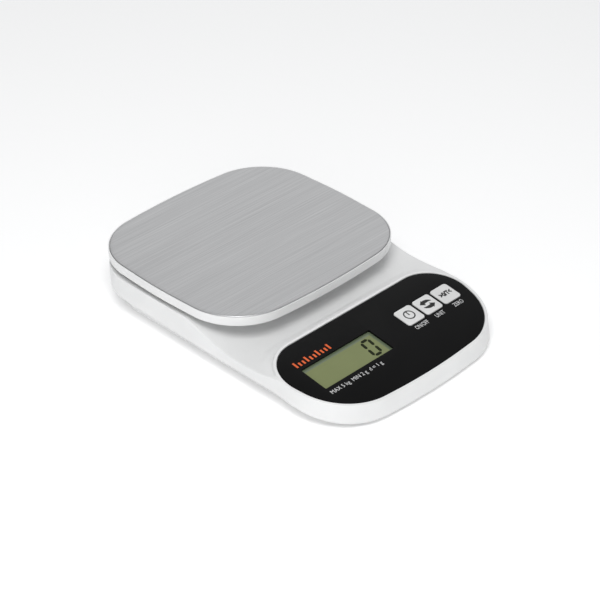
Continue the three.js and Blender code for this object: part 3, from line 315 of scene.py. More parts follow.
steel_low, steel_high = (np.array(corner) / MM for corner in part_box("platter_sheet"))
platter_y = (steel_low[1] + steel_high[1]) / 2
PLATTER_CORNER = 37.0
SIDE_LEAN, SIDE_BOW = 2.63, 320.0
END_LEAN, END_BOW = 4.66, 480.0
half_x = (steel_high[0] - steel_low[0]) / 2 + bow_drop(SIDE_BOW, SIDE_LEAN)
half_y = (steel_high[1] - steel_low[1]) / 2 + bow_drop(END_BOW, END_LEAN)
side_slope, end_slope = math.tan(math.radians(SIDE_LEAN)), math.tan(math.radians(END_LEAN))
corner_x = (half_x - half_y * side_slope) / (1 - side_slope * end_slope)
corner_y = half_y - corner_x * end_slope
platter_right = [(corner_x, platter_y - corner_y), (half_x, platter_y), (corner_x, platter_y + corner_y)]
platter_plan = [(0, platter_y - half_y), *platter_right, (0, platter_y + half_y), *mirrored(platter_right)]
platter_edge, platter_out = outline(platter_plan, [END_BOW, PLATTER_CORNER, SIDE_BOW, PLATTER_CORNER] * 2)
platter_middle = np.array([0, platter_y])


def platter_ring(offset, z, scale=1.0):
    """The platter's outline moved out by offset, then drawn in to its middle by scale, at height z."""
    flat = platter_middle + scale * (platter_edge + offset * platter_out - platter_middle)
    return np.column_stack([flat, np.full(len(flat), z)])


EDGE_ROLL = 0.4
roll = np.radians(np.linspace(0, 90, 5))
sheet_rings = [platter_ring(0, steel_low[2], s) for s in (0.02, 0.5, 0.97)]
sheet_rings += [platter_ring(-0.12, steel_low[2]), platter_ring(0, steel_low[2] + 0.12)]
sheet_rings += [
    platter_ring(-EDGE_ROLL * (1 - math.cos(a)), steel_high[2] - EDGE_ROLL * (1 - math.sin(a))) for a in roll
]
sheet_rings += [platter_ring(-EDGE_ROLL, steel_high[2], s) for s in (0.97, 0.8, 0.6, 0.4, 0.2, 0.02)]
piece(
    "platter_plate",
    [band(sheet_rings, (0, platter_y, steel_low[2]), (0, platter_y, steel_high[2]))],
    brushed_steel, "platter", ["platter_sheet"], sharp=60,
)

# ------------------------------------------------------------------------ tray
# The tray is a white ABS moulding: a floor with a band round it whose edges are softened,
# and four round posts under it that pass down through the housing to the load cell.

# Moulded grain: a fine texture and slow changes of gloss, as on spark-eroded tooling.
moulded, mould_in, mould_out = group_of(
    "moulded_grain", {"Grain": 2200.0, "Rough": 0.4, "Spread": 0.1}, ("Height", "Tone", "Roughness")
)
fine = moulded.nodes.new("ShaderNodeTexNoise")
fine.inputs["Detail"].default_value = 2.0
slow = moulded.nodes.new("ShaderNodeTexNoise")
slow.inputs["Scale"].default_value = 35.0
slow.inputs["Detail"].default_value = 3.0
moulded.links.new(mould_in.outputs["Grain"], fine.inputs["Scale"])
for texture in (fine, slow):
    moulded.links.new(mould_in.outputs["Vector"], texture.inputs["Vector"])
moulded.links.new(fine.outputs["Fac"], mould_out.inputs["Height"])
moulded.links.new(slow.outputs["Fac"], mould_out.inputs["Tone"])
swing = sums(moulded, "SUBTRACT", slow.outputs["Fac"], 0.5)
gloss = sums(moulded, "MULTIPLY_ADD", swing, mould_in.outputs["Spread"], mould_in.outputs["Rough"])
moulded.links.new(gloss, mould_out.inputs["Roughness"])


def plastic(name, dark, light, rough, spread=0.12, grain=2200.0, relief=6e-6):
    """A moulded plastic or rubber with a fine grain and a slow drift of tone between dark and light."""
    made, _, _, shader = finish_of(name, light, rough)
    surface = place_group(made.node_tree, moulded, {"Grain": grain, "Rough": rough, "Spread": spread})
    made.node_tree.links.new(surface.outputs["Roughness"], shader.inputs["Roughness"])
    tinted(made.node_tree, shader, surface.outputs["Tone"], dark, light)
    bumped(made.node_tree, shader, surface.outputs["Height"], relief)
    return made, shader


white_abs, white_shader = plastic("white_abs", (0.79, 0.792, 0.79), (0.83, 0.832, 0.83), 0.36)
white_shader.inputs["Specular IOR Level"].default_value = 0.5

tray_low, tray_high = (np.array(corner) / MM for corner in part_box("platter_tray"))
TRAY_LIP, TRAY_BAND, TRAY_WALL, TRAY_FLOOR = 0.9, 6.0, 2.0, 2.0
TRAY_ROUND, LIP_ROUND, LIP_CHAMFER = 0.7, 0.22, 0.15
tray_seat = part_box("platter_pad")[0][2] / MM - GAP
tray_bottom = tray_high[2] - TRAY_BAND
soft_turn = np.radians(np.linspace(0, 90, 6))
tray_rings = [platter_ring(0, tray_seat, s) for s in (0.02, 0.5, 0.98)]
tray_rings += [platter_ring(GAP, tray_seat), platter_ring(GAP, tray_high[2] - LIP_CHAMFER)]
tray_rings.append(platter_ring(GAP + LIP_CHAMFER, tray_high[2]))
tray_rings += [
    platter_ring(TRAY_LIP - LIP_ROUND * (1 - math.sin(a)), tray_high[2] - LIP_ROUND * (1 - math.cos(a)))
    for a in soft_turn
]
tray_rings += [
    platter_ring(TRAY_LIP - TRAY_ROUND * (1 - math.cos(a)), tray_bottom + TRAY_ROUND * (1 - math.sin(a)))
    for a in soft_turn
]
tray_under = tray_seat - TRAY_FLOOR
tray_rings += [platter_ring(TRAY_LIP - TRAY_WALL, z) for z in (tray_bottom, tray_under)]
tray_rings += [platter_ring(0, tray_under, s) for s in (0.9, 0.5, 0.02)]
tray_parts = [band(tray_rings, (0, platter_y, tray_seat), (0, platter_y, tray_under))]


def lathe(profile, x, y, count=40):
    """A closed profile of (radius, z) turned about a vertical axis at x, y."""
    angle = np.linspace(0, 2 * math.pi, count, endpoint=False)
    radius, z = np.array(profile, float).T
    across, along = radius[:, None] * np.cos(angle), radius[:, None] * np.sin(angle)
    rings = np.stack([x + across, y + along, z[:, None] + 0 * angle], -1)
    return band(rings, (x, y, z[0]), (x, y, z[-1]))


POST_RADIUS, POST_SPREAD = 4.5, (64.0, 44.0)
post_places = [
    (sx * POST_SPREAD[0] / 2, platter_y + sy * POST_SPREAD[1] / 2) for sx in (-1, 1) for sy in (-1, 1)
]
post_foot, POST_EDGE, FILLET = tray_low[2], 0.4, 0.5
post_top = tray_under - 0.001
post = [(0.5, post_foot), (POST_RADIUS - POST_EDGE, post_foot), (POST_RADIUS, post_foot + POST_EDGE)]
post += [(POST_RADIUS, tray_under - FILLET), (POST_RADIUS + FILLET, post_top), (0.5, post_top)]
tray_parts += [lathe(post, *place) for place in post_places]
piece(
    "platter_tray_moulding", tray_parts, white_abs, "platter", ["platter_tray"], weld=False
)

# ------------------------------------------------------------------------ load cell
# Between the platter and the bottom cover sits an aluminium bar with two bores and a slot,
# strain gauges under white silicone, and a pressed steel spider. Screws are zinc plated.


def dressed(node, material, body, round_off=0.12, sharp=32):
    """A merged copy of a node's own shape with its sharp edges rounded by round_off millimetres."""
    mesh = nodes[node].data.copy()
    mesh.name = node + "_finished"
    mesh.materials.clear()
    made = bmesh.new()
    made.from_mesh(mesh)
    bmesh.ops.remove_doubles(made, verts=made.verts, dist=2e-6)
    bmesh.ops.dissolve_limit(made, angle_limit=math.radians(1), verts=made.verts, edges=made.edges)
    made.to_mesh(mesh)
    made.free()
    mesh.shade_smooth()
    mesh.set_sharp_from_angle(angle=math.radians(sharp))
    mesh.materials.append(material)
    shown = bpy.data.objects.new(node + "_finished", mesh)
    scene.collection.objects.link(shown)
    bevel = shown.modifiers.new("rounded_edges", "BEVEL")
    bevel.width = round_off * MM
    bevel.segments = 2
    bevel.limit_method = "ANGLE"
    bevel.angle_limit = math.radians(sharp)
    bevel.harden_normals = False
    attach(shown, body)
    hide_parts(node)
    return shown


zinc = brushed("zinc_plate", (0.42, 0.43, 0.45), (0.62, 0.63, 0.66), 0.34, 0.2, 900.0, 500.0)
milled_aluminium = brushed("milled_aluminium", (0.62, 0.63, 0.65), (0.78, 0.79, 0.8), 0.3, 0.2, 1800.0, 30.0)
silicone, _ = plastic("white_silicone", (0.74, 0.74, 0.71), (0.82, 0.82, 0.8), 0.55, 0.2, 700.0, 2e-5)
foam_tape, _ = plastic("foam_tape", (0.58, 0.56, 0.45), (0.7, 0.68, 0.58), 0.9, 0.1, 5000.0, 3e-5)


def wears(names, material):
    """Gives CAD nodes a finish."""
    for name in names:
        nodes[name].data.materials.clear()
        nodes[name].data.materials.append(material)


wears(["platter_pad"], foam_tape)
wears(["load_cell"], milled_aluminium)
wears(["gauge_potting_upper", "gauge_potting_lower"], silicone)
wears(["upper_spacer", "lower_spacer", "platter_spider", "overload_stop"], zinc)
wears([f"platter_screw_{i}" for i in range(1, 5)], zinc)
wears([f"upper_cell_screw_{i}" for i in (1, 2)], zinc)
for name in [f"lower_cell_screw_{i}" for i in (1, 2)] + [f"housing_screw_{i}" for i in range(1, 6)]:
    dressed(name, zinc, "base", 0.08)

# ------------------------------------------------------------------------ upper housing
# One white ABS moulding: a level deck under the platter, a saddle that dips in front of it,
# and a tilted console with a raised rim round the recess for the black panel.
LENGTH = 217.0
WALL = 2.2
TILT = math.degrees(math.asin(next(j["axis"][1] for j in frame["joints"] if j["name"] == "power_press")))
slope, tilt_cos, tilt_sin = (f(math.radians(TILT)) for f in (math.tan, math.cos, math.sin))
BODY_WIDTH = 150.0
BODY_BACK_INSET, BODY_CORNER, WAIST_RADIUS = 1.6, 36.0, 28.0
PANEL_BACK_HALF, PANEL_FRONT_HALF = BODY_WIDTH / 2 + 1.2, BODY_WIDTH / 2 - 10.1
PANEL_BACK, PANEL_SHOULDER, PANEL_FRONT = 34.3, 26.8, 31.7
PANEL_RADII = [398.0, 37.3, 23.6, 23.6, 37.3]
RIM, RIM_PROUD, CONSOLE_FLARE, SKIRT = 2.2, 0.4, 1.5, 6.0
PANEL_THICK, SHELF = 1.2, 1.8
DECK_FALL, DECK_EASE, VALLEY_Z = 20.6, 14.0, 17.3
EDGE_FRONT_Z, EDGE_SIDE_Z, EDGE_BACK_Z = 2.4, 10.8, 14.0
deck_top = tray_bottom - 3.8

panel_plan = [
    (0, -PANEL_FRONT), (PANEL_FRONT_HALF, -PANEL_SHOULDER), (PANEL_BACK_HALF, PANEL_BACK),
    (-PANEL_BACK_HALF, PANEL_BACK), (-PANEL_FRONT_HALF, -PANEL_SHOULDER),
]
front_lean = math.atan((PANEL_FRONT - PANEL_SHOULDER) * tilt_cos / PANEL_FRONT_HALF)
console_foot = RIM + CONSOLE_FLARE
panel_y = (
    -LENGTH / 2 + PANEL_FRONT * tilt_cos + console_foot / math.cos(front_lean)
    - bow_drop(PANEL_RADII[0], math.degrees(front_lean))
)
panel_z = 17.4
valley_y, console_back_y, edge_rise_y = panel_y + 49.5, panel_y + 17.5, panel_y + 26.5
deck_front_y = platter_y - DECK_FALL
panel_edge, panel_out = outline(panel_plan, PANEL_RADII, 2.0, 1.2)


def offset_polygon(corners, by):
    """The corners of a counter-clockwise polygon whose every edge is moved out by the same distance."""
    corners = np.asarray(corners, float)
    along = np.roll(corners, -1, 0) - corners
    along /= np.linalg.norm(along, axis=1)[:, None]
    start = corners + by * np.stack([along[:, 1], -along[:, 0]], 1)
    prior, prior_along = np.roll(start, 1, 0), np.roll(along, 1, 0)
    turn = prior_along[:, 0] * along[:, 1] - prior_along[:, 1] * along[:, 0]
    apart = start - prior
    reach = (apart[:, 0] * along[:, 1] - apart[:, 1] * along[:, 0]) / turn
    return prior + prior_along * reach[:, None]


squashed = [(x, v * tilt_cos) for x, v in panel_plan]
foot_front, foot_shoulder, foot_rear = offset_polygon(squashed, console_foot)[:3] + [0, panel_y]
side_x = BODY_WIDTH / 2
waist_share = (side_x - foot_shoulder[0]) / (foot_rear[0] - foot_shoulder[0])
waist = (side_x, foot_shoulder[1] + waist_share * (foot_rear[1] - foot_shoulder[1]))
back_y = LENGTH / 2 - BODY_BACK_INSET + bow_drop(END_BOW, END_LEAN)
rear_corner = (side_x, back_y - side_x * end_slope)
body_right = [tuple(foot_shoulder), waist, rear_corner]
body_plan = [tuple(foot_front), *body_right, (0, back_y), *mirrored(body_right)]
body_radii = [PANEL_RADII[0], PANEL_RADII[1] + console_foot, WAIST_RADIUS, BODY_CORNER]
body_edge, body_out = outline(body_plan, body_radii + [END_BOW] + body_radii[:0:-1], 2.5, 1.8)


def curve(controls, count=50):
    """Points on a cubic Bezier curve through its four control points."""
    t = np.linspace(0, 1, count)[:, None]
    p0, p1, p2, p3 = np.array(controls, float)
    return p0 * (1 - t) ** 3 + 3 * p1 * t * (1 - t) ** 2 + 3 * p2 * t * t * (1 - t) + p3 * t ** 3


def console_plane(y, depth=0.0):
    """Height of the console's plane at a plan place, depth under the panel's face."""
    return panel_z + (y - panel_y) * slope - depth / tilt_cos


def saddle(y, drop=0.0, depth=0.2):
    """Side view of the housing's top, drop under it, or depth under the panel's face at the console."""
    fall, rise = deck_front_y - valley_y, valley_y - console_back_y
    rim_z = console_plane(console_back_y, depth)
    low = VALLEY_Z - drop
    dip = curve([(deck_front_y, deck_top - drop), (deck_front_y - DECK_EASE, deck_top - drop),
                 (valley_y + 0.51 * fall, low), (valley_y, low)])
    climb = curve([(valley_y, low), (valley_y - 0.41 * rise, low),
                   (console_back_y + 0.31 * rise, rim_z + (low - rim_z) * 0.45), (console_back_y, rim_z)])
    line = np.concatenate([dip, climb[1:]])[::-1]
    inside = np.interp(y, line[:, 0], line[:, 1])
    return np.where(np.asarray(y) < console_back_y, console_plane(np.asarray(y), depth), inside)


def lower_edge(y):
    """Height of the housing's lower edge: low at the front, rising to the sides and the back."""
    front, rise = -LENGTH / 2, edge_rise_y + LENGTH / 2
    first = curve([(front, EDGE_FRONT_Z), (front + 0.28 * rise, EDGE_FRONT_Z),
                   (edge_rise_y - 0.33 * rise, EDGE_SIDE_Z - 0.8), (edge_rise_y, EDGE_SIDE_Z)])
    second = curve([(edge_rise_y, EDGE_SIDE_Z), (0, EDGE_SIDE_Z),
                    (platter_y, EDGE_SIDE_Z + 0.4), (LENGTH / 2, EDGE_BACK_Z)])
    line = np.concatenate([first, second[1:]])
    return np.interp(y, line[:, 0], line[:, 1])


def distance_to(points, loop):
    """Distance from each point to a closed outline of short straight runs."""
    along = np.roll(loop, -1, 0) - loop
    away = points[:, None] - loop[None]
    share = np.clip((away * along).sum(-1) / (along * along).sum(-1), 0, 1)
    return np.linalg.norm(away - share[..., None] * along, axis=-1).min(1)


def pad(distance):
    """Height over the panel's face of the rim, its rounded edge and the hollow fillet behind it."""
    edge_round = 0.6
    over = np.clip(distance - (RIM - edge_round), 0, edge_round)
    rounded = RIM_PROUD - edge_round + np.sqrt(edge_round ** 2 - over ** 2)
    past = np.clip(distance - RIM, 0, None)
    hollow = np.sqrt(np.clip(SKIRT ** 2 - (SKIRT - np.minimum(past, SKIRT)) ** 2, 0, None))
    return rounded - hollow - 2 * np.clip(past - SKIRT, 0, None)


def housing_top(x, y):
    """Height of the housing's top: the saddle and the console's pad, run into each other softly."""
    shape = np.shape(x)
    x, y = np.ravel(x), np.ravel(y)
    from_edge = distance_to(np.column_stack([x, (y - panel_y) / tilt_cos]), panel_edge)
    low, high = saddle(y), console_plane(y) + pad(from_edge) / tilt_cos
    ease = np.clip((y + 52) / 12, 0, 1)
    soft = 0.5 + 3.0 * ease * ease * (3 - 2 * ease)
    blend = np.clip(soft - np.abs(high - low), 0, None) ** 2 / (4 * soft)
    return (np.maximum(low, high) + blend).reshape(shape)


def radial(loop, middle, angle):
    """Distance from middle to a closed outline in each direction."""
    spoke = loop - middle
    bearing = np.arctan2(spoke[:, 1], spoke[:, 0])
    order = np.argsort(bearing)
    return np.interp(angle, bearing[order], np.hypot(*spoke[order].T), period=2 * math.pi)


def on_console(x, v, w):
    """Console coordinates (across, up the panel, out of it) in the scale's frame."""
    x, v, w = np.broadcast_arrays(x, v, w)
    return np.stack([x, panel_y + v * tilt_cos - w * tilt_sin, panel_z + v * tilt_sin + w * tilt_cos], -1)


# The flare: the console's wall stands out at its foot, and dies out past the waist.
flare_share = np.clip((-44 - body_edge[:, 1]) / 16, 0, 1)
flare = CONSOLE_FLARE * flare_share * flare_share * (3 - 2 * flare_share)
TOP_ROUND = 0.6
rim_edge = body_edge - flare[:, None] * body_out
top_edge = rim_edge - TOP_ROUND * body_out
top_z = housing_top(top_edge[:, 0], top_edge[:, 1])
low_z = lower_edge(body_edge[:, 1])


def wall_ring(z, inset=0.0):
    """The housing's side at heights z, flared towards the foot and moved in by inset."""
    drawn = flare * np.clip((z - EDGE_FRONT_Z) / (top_z - TOP_ROUND - EDGE_FRONT_Z), 0, 1)
    return np.column_stack([body_edge - (drawn + inset)[:, None] * body_out, z])


wall_rings = [
    np.column_stack([top_edge + TOP_ROUND * math.sin(a) * body_out, top_z - TOP_ROUND * (1 - math.cos(a))])
    for a in np.radians(np.linspace(0, 90, 6))
]
FOOT_ROUND = 0.5
wall_top, wall_foot = top_z - TOP_ROUND, low_z + FOOT_ROUND
wall_rings += [wall_ring(wall_top + (wall_foot - wall_top) * share) for share in np.linspace(0, 1, 9)[1:]]
wall_rings += [
    wall_ring(low_z + FOOT_ROUND * (1 - math.sin(a)), FOOT_ROUND * (1 - math.cos(a)))
    for a in np.radians(np.linspace(0, 90, 4))[1:]
]
SHELF_UNDER, FOOT_CHAMFER = SHELF + PANEL_THICK + GAP, 0.2
inner_z = saddle(body_edge[:, 1], WALL, SHELF_UNDER)
inner_foot = low_z + FOOT_CHAMFER
wall_rings += [wall_ring(low_z, WALL - FOOT_CHAMFER), wall_ring(inner_foot, WALL)]
wall_rings += [wall_ring(inner_foot + (inner_z - inner_foot) * share, WALL) for share in (0.33, 0.66, 1)]
roof_edge = wall_rings[-1][:, :2]
for share in np.linspace(1, 0, 24)[1:-1]:
    inward = roof_edge * share
    wall_rings.append(np.column_stack([inward, saddle(inward[:, 1], WALL, SHELF_UNDER)]))
roof_middle = (0, 0, float(saddle(0.0, WALL, SHELF_UNDER)))
housing_parts = [band(wall_rings, last=roof_middle)]

# The top is two fans of rays, one from the console's middle and one from the deck's, that
# meet on a straight line across the lowest part of the saddle.
right = np.flatnonzero(body_edge[:, 0] > side_x - 0.01)
split_right = right[np.argmin(np.abs(body_edge[right, 1] - valley_y))]
left = np.flatnonzero(body_edge[:, 0] < -side_x + 0.01)
split_left = left[np.argmin(np.abs(body_edge[left, 1] - body_edge[split_right, 1]))]
across = np.linspace(0, 1, 64)[1:-1, None]
split_line = top_edge[split_right] + (top_edge[split_left] - top_edge[split_right]) * across
front_run = np.concatenate([top_edge[split_left:], top_edge[:split_right + 1]])
rear_run = top_edge[split_right:split_left + 1]
console_border = np.concatenate([front_run, split_line])
deck_border = np.concatenate([rear_run, split_line[::-1]])

RIM_INNER_ROUND = 0.25
console_middle = np.array([0.0, panel_y])
spokes = console_border - console_middle
local_bearing = np.arctan2(spokes[:, 1] / tilt_cos, spokes[:, 0])
console_rings = []


def console_ring(offset, w, scale=1.0):
    """The panel's outline moved out by offset, at w over the panel's face, one point to each ray."""
    reach = scale * radial(panel_edge + offset * panel_out, np.zeros(2), local_bearing)
    return on_console(reach * np.cos(local_bearing), reach * np.sin(local_bearing), w)


shelf_w = -PANEL_THICK - GAP
console_rings += [console_ring(0, shelf_w, s) for s in (0.03, 0.4, 0.8, 0.97)]
console_rings += [console_ring(GAP, shelf_w), console_ring(GAP, shelf_w + 0.6)]
console_rings += [
    console_ring(GAP + RIM_INNER_ROUND * (1 - math.cos(a)), RIM_PROUD - RIM_INNER_ROUND * (1 - math.sin(a)))
    for a in np.radians(np.linspace(0, 90, 5))
]
inner_rim = console_rings[-1][:, :2]
run = np.linalg.norm(console_border - inner_rim, axis=1)
steps = np.concatenate([
    np.linspace(0, 1.05, 4)[1:], 1.05 + 0.6 * np.sin(np.radians(np.linspace(0, 90, 7)[1:])),
    1.65 + 6.2 * (np.linspace(0, 1, 13)[1:]) ** 2.2, 7.85 + 60 * np.linspace(0, 1, 15)[1:] ** 1.5,
])
for level, step_out in enumerate(steps[:-1], 1):
    reach = np.minimum(step_out, run * level / len(steps))
    flat = inner_rim + (console_border - inner_rim) * (reach / run)[:, None]
    console_rings.append(np.column_stack([flat, housing_top(flat[:, 0], flat[:, 1])]))
console_rings.append(np.column_stack([console_border, housing_top(*console_border.T)]))
housing_parts.append(band(console_rings, first=on_console(0.0, 0.0, shelf_w)))

deck_middle = np.array([0.0, platter_y])
deck_rings = []
for share in 1 - np.linspace(0, 1, 34)[:-1] ** 1.15:
    flat = deck_middle + (deck_border - deck_middle) * share
    height = housing_top(*flat.T) if share == 1 else saddle(flat[:, 1])
    deck_rings.append(np.column_stack([flat, height]))
housing_parts.append(band(deck_rings, last=(0, platter_y, deck_top)))


def opened(shown, cutters):
    """Cuts closed solids, given as (vertices, faces) in millimetres, out of a piece."""
    tool = bpy.data.objects.new("cutter", bpy.data.meshes.new("cutter"))
    scene.collection.objects.link(tool)
    points, faces, start = [], [], 0
    for part_points, part_faces in cutters:
        points += [tuple(p) for p in np.asarray(part_points) * MM]
        faces += [[start + v for v in face] for face in part_faces]
        start += len(part_points)
    tool.data.from_pydata(points, [], faces)
    cleaned = bmesh.new()
    cleaned.from_mesh(tool.data)
    bmesh.ops.recalc_face_normals(cleaned, faces=cleaned.faces)
    cleaned.to_mesh(tool.data)
    cleaned.free()
    cut = shown.modifiers.new("openings", "BOOLEAN")
    cut.object = tool
    cut.solver = "EXACT"
    bpy.context.view_layer.update()
    result = bpy.data.meshes.new_from_object(shown.evaluated_get(bpy.context.evaluated_depsgraph_get()))
    shown.modifiers.remove(cut)
    shown.data = result
    result.set_sharp_from_angle(angle=math.radians(32))
    bpy.data.objects.remove(tool)
    return shown


def rounded_box(width, depth, corner, x=0.0, v=0.0, turn=15.0):
    """Points of a rectangle with round corners."""
    half_w, half_d = width / 2, depth / 2
    signs = ((-1, -1), (1, -1), (1, 1), (-1, 1))
    corners = [(x + sx * half_w, v + sy * half_d) for sx, sy in signs]
    return outline(corners, [corner] * 4, turn, 1000.0)


def capped(rings):
    """A closed solid from rings, with one flat face on the first and one on the last."""
    points, faces = band(rings)
    count = len(rings[0])
    return points, faces + [list(range(count))[::-1], list(range(len(points) - count, len(points)))]


def slab(points, low, high, place=on_console):
    """A flat outline carried straight from low to high: a closed solid."""
    points = np.asarray(points, float)
    return capped([place(*points.T, w) for w in (low, high)])


def upright(x, y, z):
    """The scale's own frame, for pieces that aren't on the console."""
    return np.stack(np.broadcast_arrays(x, y, z), -1)


LCD_X, LCD_V = -PANEL_FRONT_HALF + 34.6, 5.4
GLASS_WIDTH, GLASS_DEPTH, GLASS_THICK, GLASS_SUNK = 59.0, 25.0, 2.6, 1.6
KEY_SIZE, KEY_CLEARANCE, KEY_CORNER, KEY_V = 13.7, 0.3, 1.9, 9.5
key_pitch = KEY_SIZE + 1.95
keys_x = PANEL_FRONT_HALF - 1.65 - KEY_SIZE / 2 - key_pitch
key_places = {name: keys_x + shift * key_pitch for name, shift in (("power", -1), ("unit", 0), ("zero", 1))}
key_window = KEY_SIZE + 2 * KEY_CLEARANCE
key_holes = [rounded_box(key_window, key_window, KEY_CORNER, x, KEY_V)[0] for x in key_places.values()]
glass_hole, _ = rounded_box(GLASS_WIDTH + 1, GLASS_DEPTH + 1, 0.8, LCD_X, LCD_V)
windows = [slab(hole, -12, -1) for hole in [glass_hole, *key_holes]]
POST_HOLE = POST_RADIUS + 1.5
circle = np.radians(np.arange(0, 360, 10))
round_hole = np.column_stack([np.cos(circle), np.sin(circle)])
deck_span = (deck_top - WALL - 2, deck_top + 2)
windows += [slab(round_hole * POST_HOLE + place, *deck_span, upright) for place in post_places]
CELL_LENGTH, CELL_END, CELL_PITCH, CELL_SCREW_HOLE = 75, 5, 15, 4.7
cell_screw_x = CELL_LENGTH / 2 - CELL_END
for x in (cell_screw_x, cell_screw_x - CELL_PITCH):
    windows.append(slab(round_hole * CELL_SCREW_HOLE + (x, platter_y), *deck_span, upright))
housing = piece("housing_shell", housing_parts, white_abs, "base", ["upper_housing"])
opened(housing, windows)

# ------------------------------------------------------------------------ cover, door and feet
# The bottom cover and the battery door are white ABS mouldings with softened edges; the feet
# are turned rings of grey rubber with a grooved sole, pressed into the cover.
dressed("bottom_cover", white_abs, "base", 0.2)
dressed("battery_door", white_abs, "battery_door", 0.15)
foot_rubber, _ = plastic(
    "foot_rubber", (0.05, 0.05, 0.052), (0.075, 0.075, 0.078), 0.75, 0.15, 1500.0, 1.5e-5
)
for number in range(1, 5):
    foot_low, foot_high = (np.array(corner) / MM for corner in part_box(f"foot_{number}"))
    foot_x, foot_y = ((foot_low + foot_high) / 2)[:2]
    foot_radius, foot_top = (foot_high[0] - foot_low[0]) / 2, foot_high[2]
    sole = [(0.5, 0.3)]
    for groove in (1.2, 3.0, 4.8):
        sole += [(groove, 0.3), (groove + 0.2, 0), (groove + 0.9, 0), (groove + 1.1, 0.3)]
    insets = ((0.9, 0.3), (0.75, 0), (0.4, 0.05), (0.1, 0.4), (0, 0.7), (0, foot_top - 0.15))
    sides = [(foot_radius - inset, z) for inset, z in insets]
    top = [(foot_radius - 0.15, foot_top), (0.5, foot_top)]
    piece(
        f"foot_{number}_rubber", [lathe(sole + sides + top, foot_x, foot_y, 48)],
        foot_rubber, "base", [f"foot_{number}"],
    )

# ------------------------------------------------------------------------ battery bay
# Two small cells lie side by side across the bay: a steel can with a printed film sleeve.
# The contacts are bent and coiled from nickel-plated strip and wire.
nickel = brushed("nickel_plate", (0.55, 0.54, 0.51), (0.7, 0.69, 0.66), 0.25, 0.15, 900.0, 300.0)
cell_sleeve, sleeve_shader = plastic(
    "cell_sleeve", (0.02, 0.05, 0.09), (0.026, 0.06, 0.105), 0.3, 0.1, 900.0, 3e-6
)
sleeve_shader.inputs["Coat Weight"].default_value = 0.4


def lathe_along_x(profile, y, z, count=48):
    """A closed profile of (x, radius) turned about an axis that runs along X."""
    angle = np.linspace(0, 2 * math.pi, count, endpoint=False)
    x, radius = np.array(profile, float).T
    across, upwards = radius[:, None] * np.cos(angle), radius[:, None] * np.sin(angle)
    rings = np.stack([x[:, None] + 0 * angle, y + across, z + upwards], -1)
    return band(rings, (x[0], y, z), (x[-1], y, z))


for number, facing in ((1, 1), (2, -1)):
    cell_low, cell_high = (np.array(corner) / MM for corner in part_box(f"battery_{number}"))
    flat_end = cell_low[0] if facing > 0 else cell_high[0]
    cell_y, cell_z = ((cell_low + cell_high) / 2)[1:]
    cell_radius = (cell_high[2] - cell_low[2]) / 2
    can = [(0, 0.5), (0, cell_radius - 1.3), (0.25, cell_radius - 0.6), (0.4, cell_radius - 0.15)]
    can += [(43.1, cell_radius - 0.15), (43.3, cell_radius - 0.6), (43.5, cell_radius - 1.0)]
    can += [(43.5, 2.1), (44.3, 2.05), (44.5, 1.8), (44.5, 0.4)]
    sleeve = [(0.6, cell_radius - 0.5), (0.6, cell_radius - 0.05), (0.7, cell_radius)]
    sleeve += [(42.7, cell_radius), (42.8, cell_radius - 0.05), (42.8, cell_radius - 0.5)]
    for name, profile, material, stands_for in (
        ("can", can, nickel, [f"battery_{number}"]), ("sleeve", sleeve, cell_sleeve, ()),
    ):
        placed = [(flat_end + facing * x, radius) for x, radius in profile]
        piece(
            f"battery_{number}_{name}", [lathe_along_x(placed, cell_y, cell_z)],
            material, "base", stands_for, weld=False,
        )
wears(["contact_bridge", "contact_positive", "contact_negative"], nickel)

# ------------------------------------------------------------------------ console panel
# The panel is a satin black sheet let into the console with a fine gap all round, with a
# window for the display and three for the keys. Its legends are printed on its face.
panel_black, panel_shader = plastic(
    "panel_black", (0.0032, 0.0032, 0.0033), (0.004, 0.004, 0.0042), 0.36, 0.06, 2600.0, 1.5e-6
)
panel_shader.inputs["Specular IOR Level"].default_value = 0.1
PANEL_ROUND = 0.2


def panel_ring(inset, w):
    """The panel's own outline moved in by inset, at w."""
    return on_console(*(panel_edge - inset * panel_out).T, w)


panel_rings = [panel_ring(0.1, -PANEL_THICK), panel_ring(0, -PANEL_THICK + 0.1)]
panel_rings += [
    panel_ring(PANEL_ROUND * (1 - math.cos(a)), -PANEL_ROUND * (1 - math.sin(a)))
    for a in np.radians(np.linspace(0, 90, 5))
]
panel_sheet = piece(
    "panel_sheet", [capped(panel_rings)], panel_black, "base", ["console_panel"]
)
SIGHT_WIDTH, SIGHT_DEPTH, SIGHT_CORNER = 55.0, 19.8, 0.7
display_hole, _ = rounded_box(SIGHT_WIDTH, SIGHT_DEPTH, SIGHT_CORNER, LCD_X, LCD_V)
opened(panel_sheet, [slab(hole, -3, 1) for hole in [display_hole, *key_holes]])

ink_white, _ = plastic("ink_white", (0.62, 0.62, 0.62), (0.72, 0.72, 0.72), 0.5, 0.1, 4000.0, 2e-6)
ink_orange, _ = plastic("ink_orange", (0.72, 0.11, 0.02), (0.8, 0.135, 0.028), 0.5, 0.1, 4000.0, 2e-6)
ink_black, _ = plastic("ink_black", (0.006, 0.006, 0.006), (0.012, 0.012, 0.012), 0.45, 0.1, 4000.0, 2e-6)
INK = 0.03


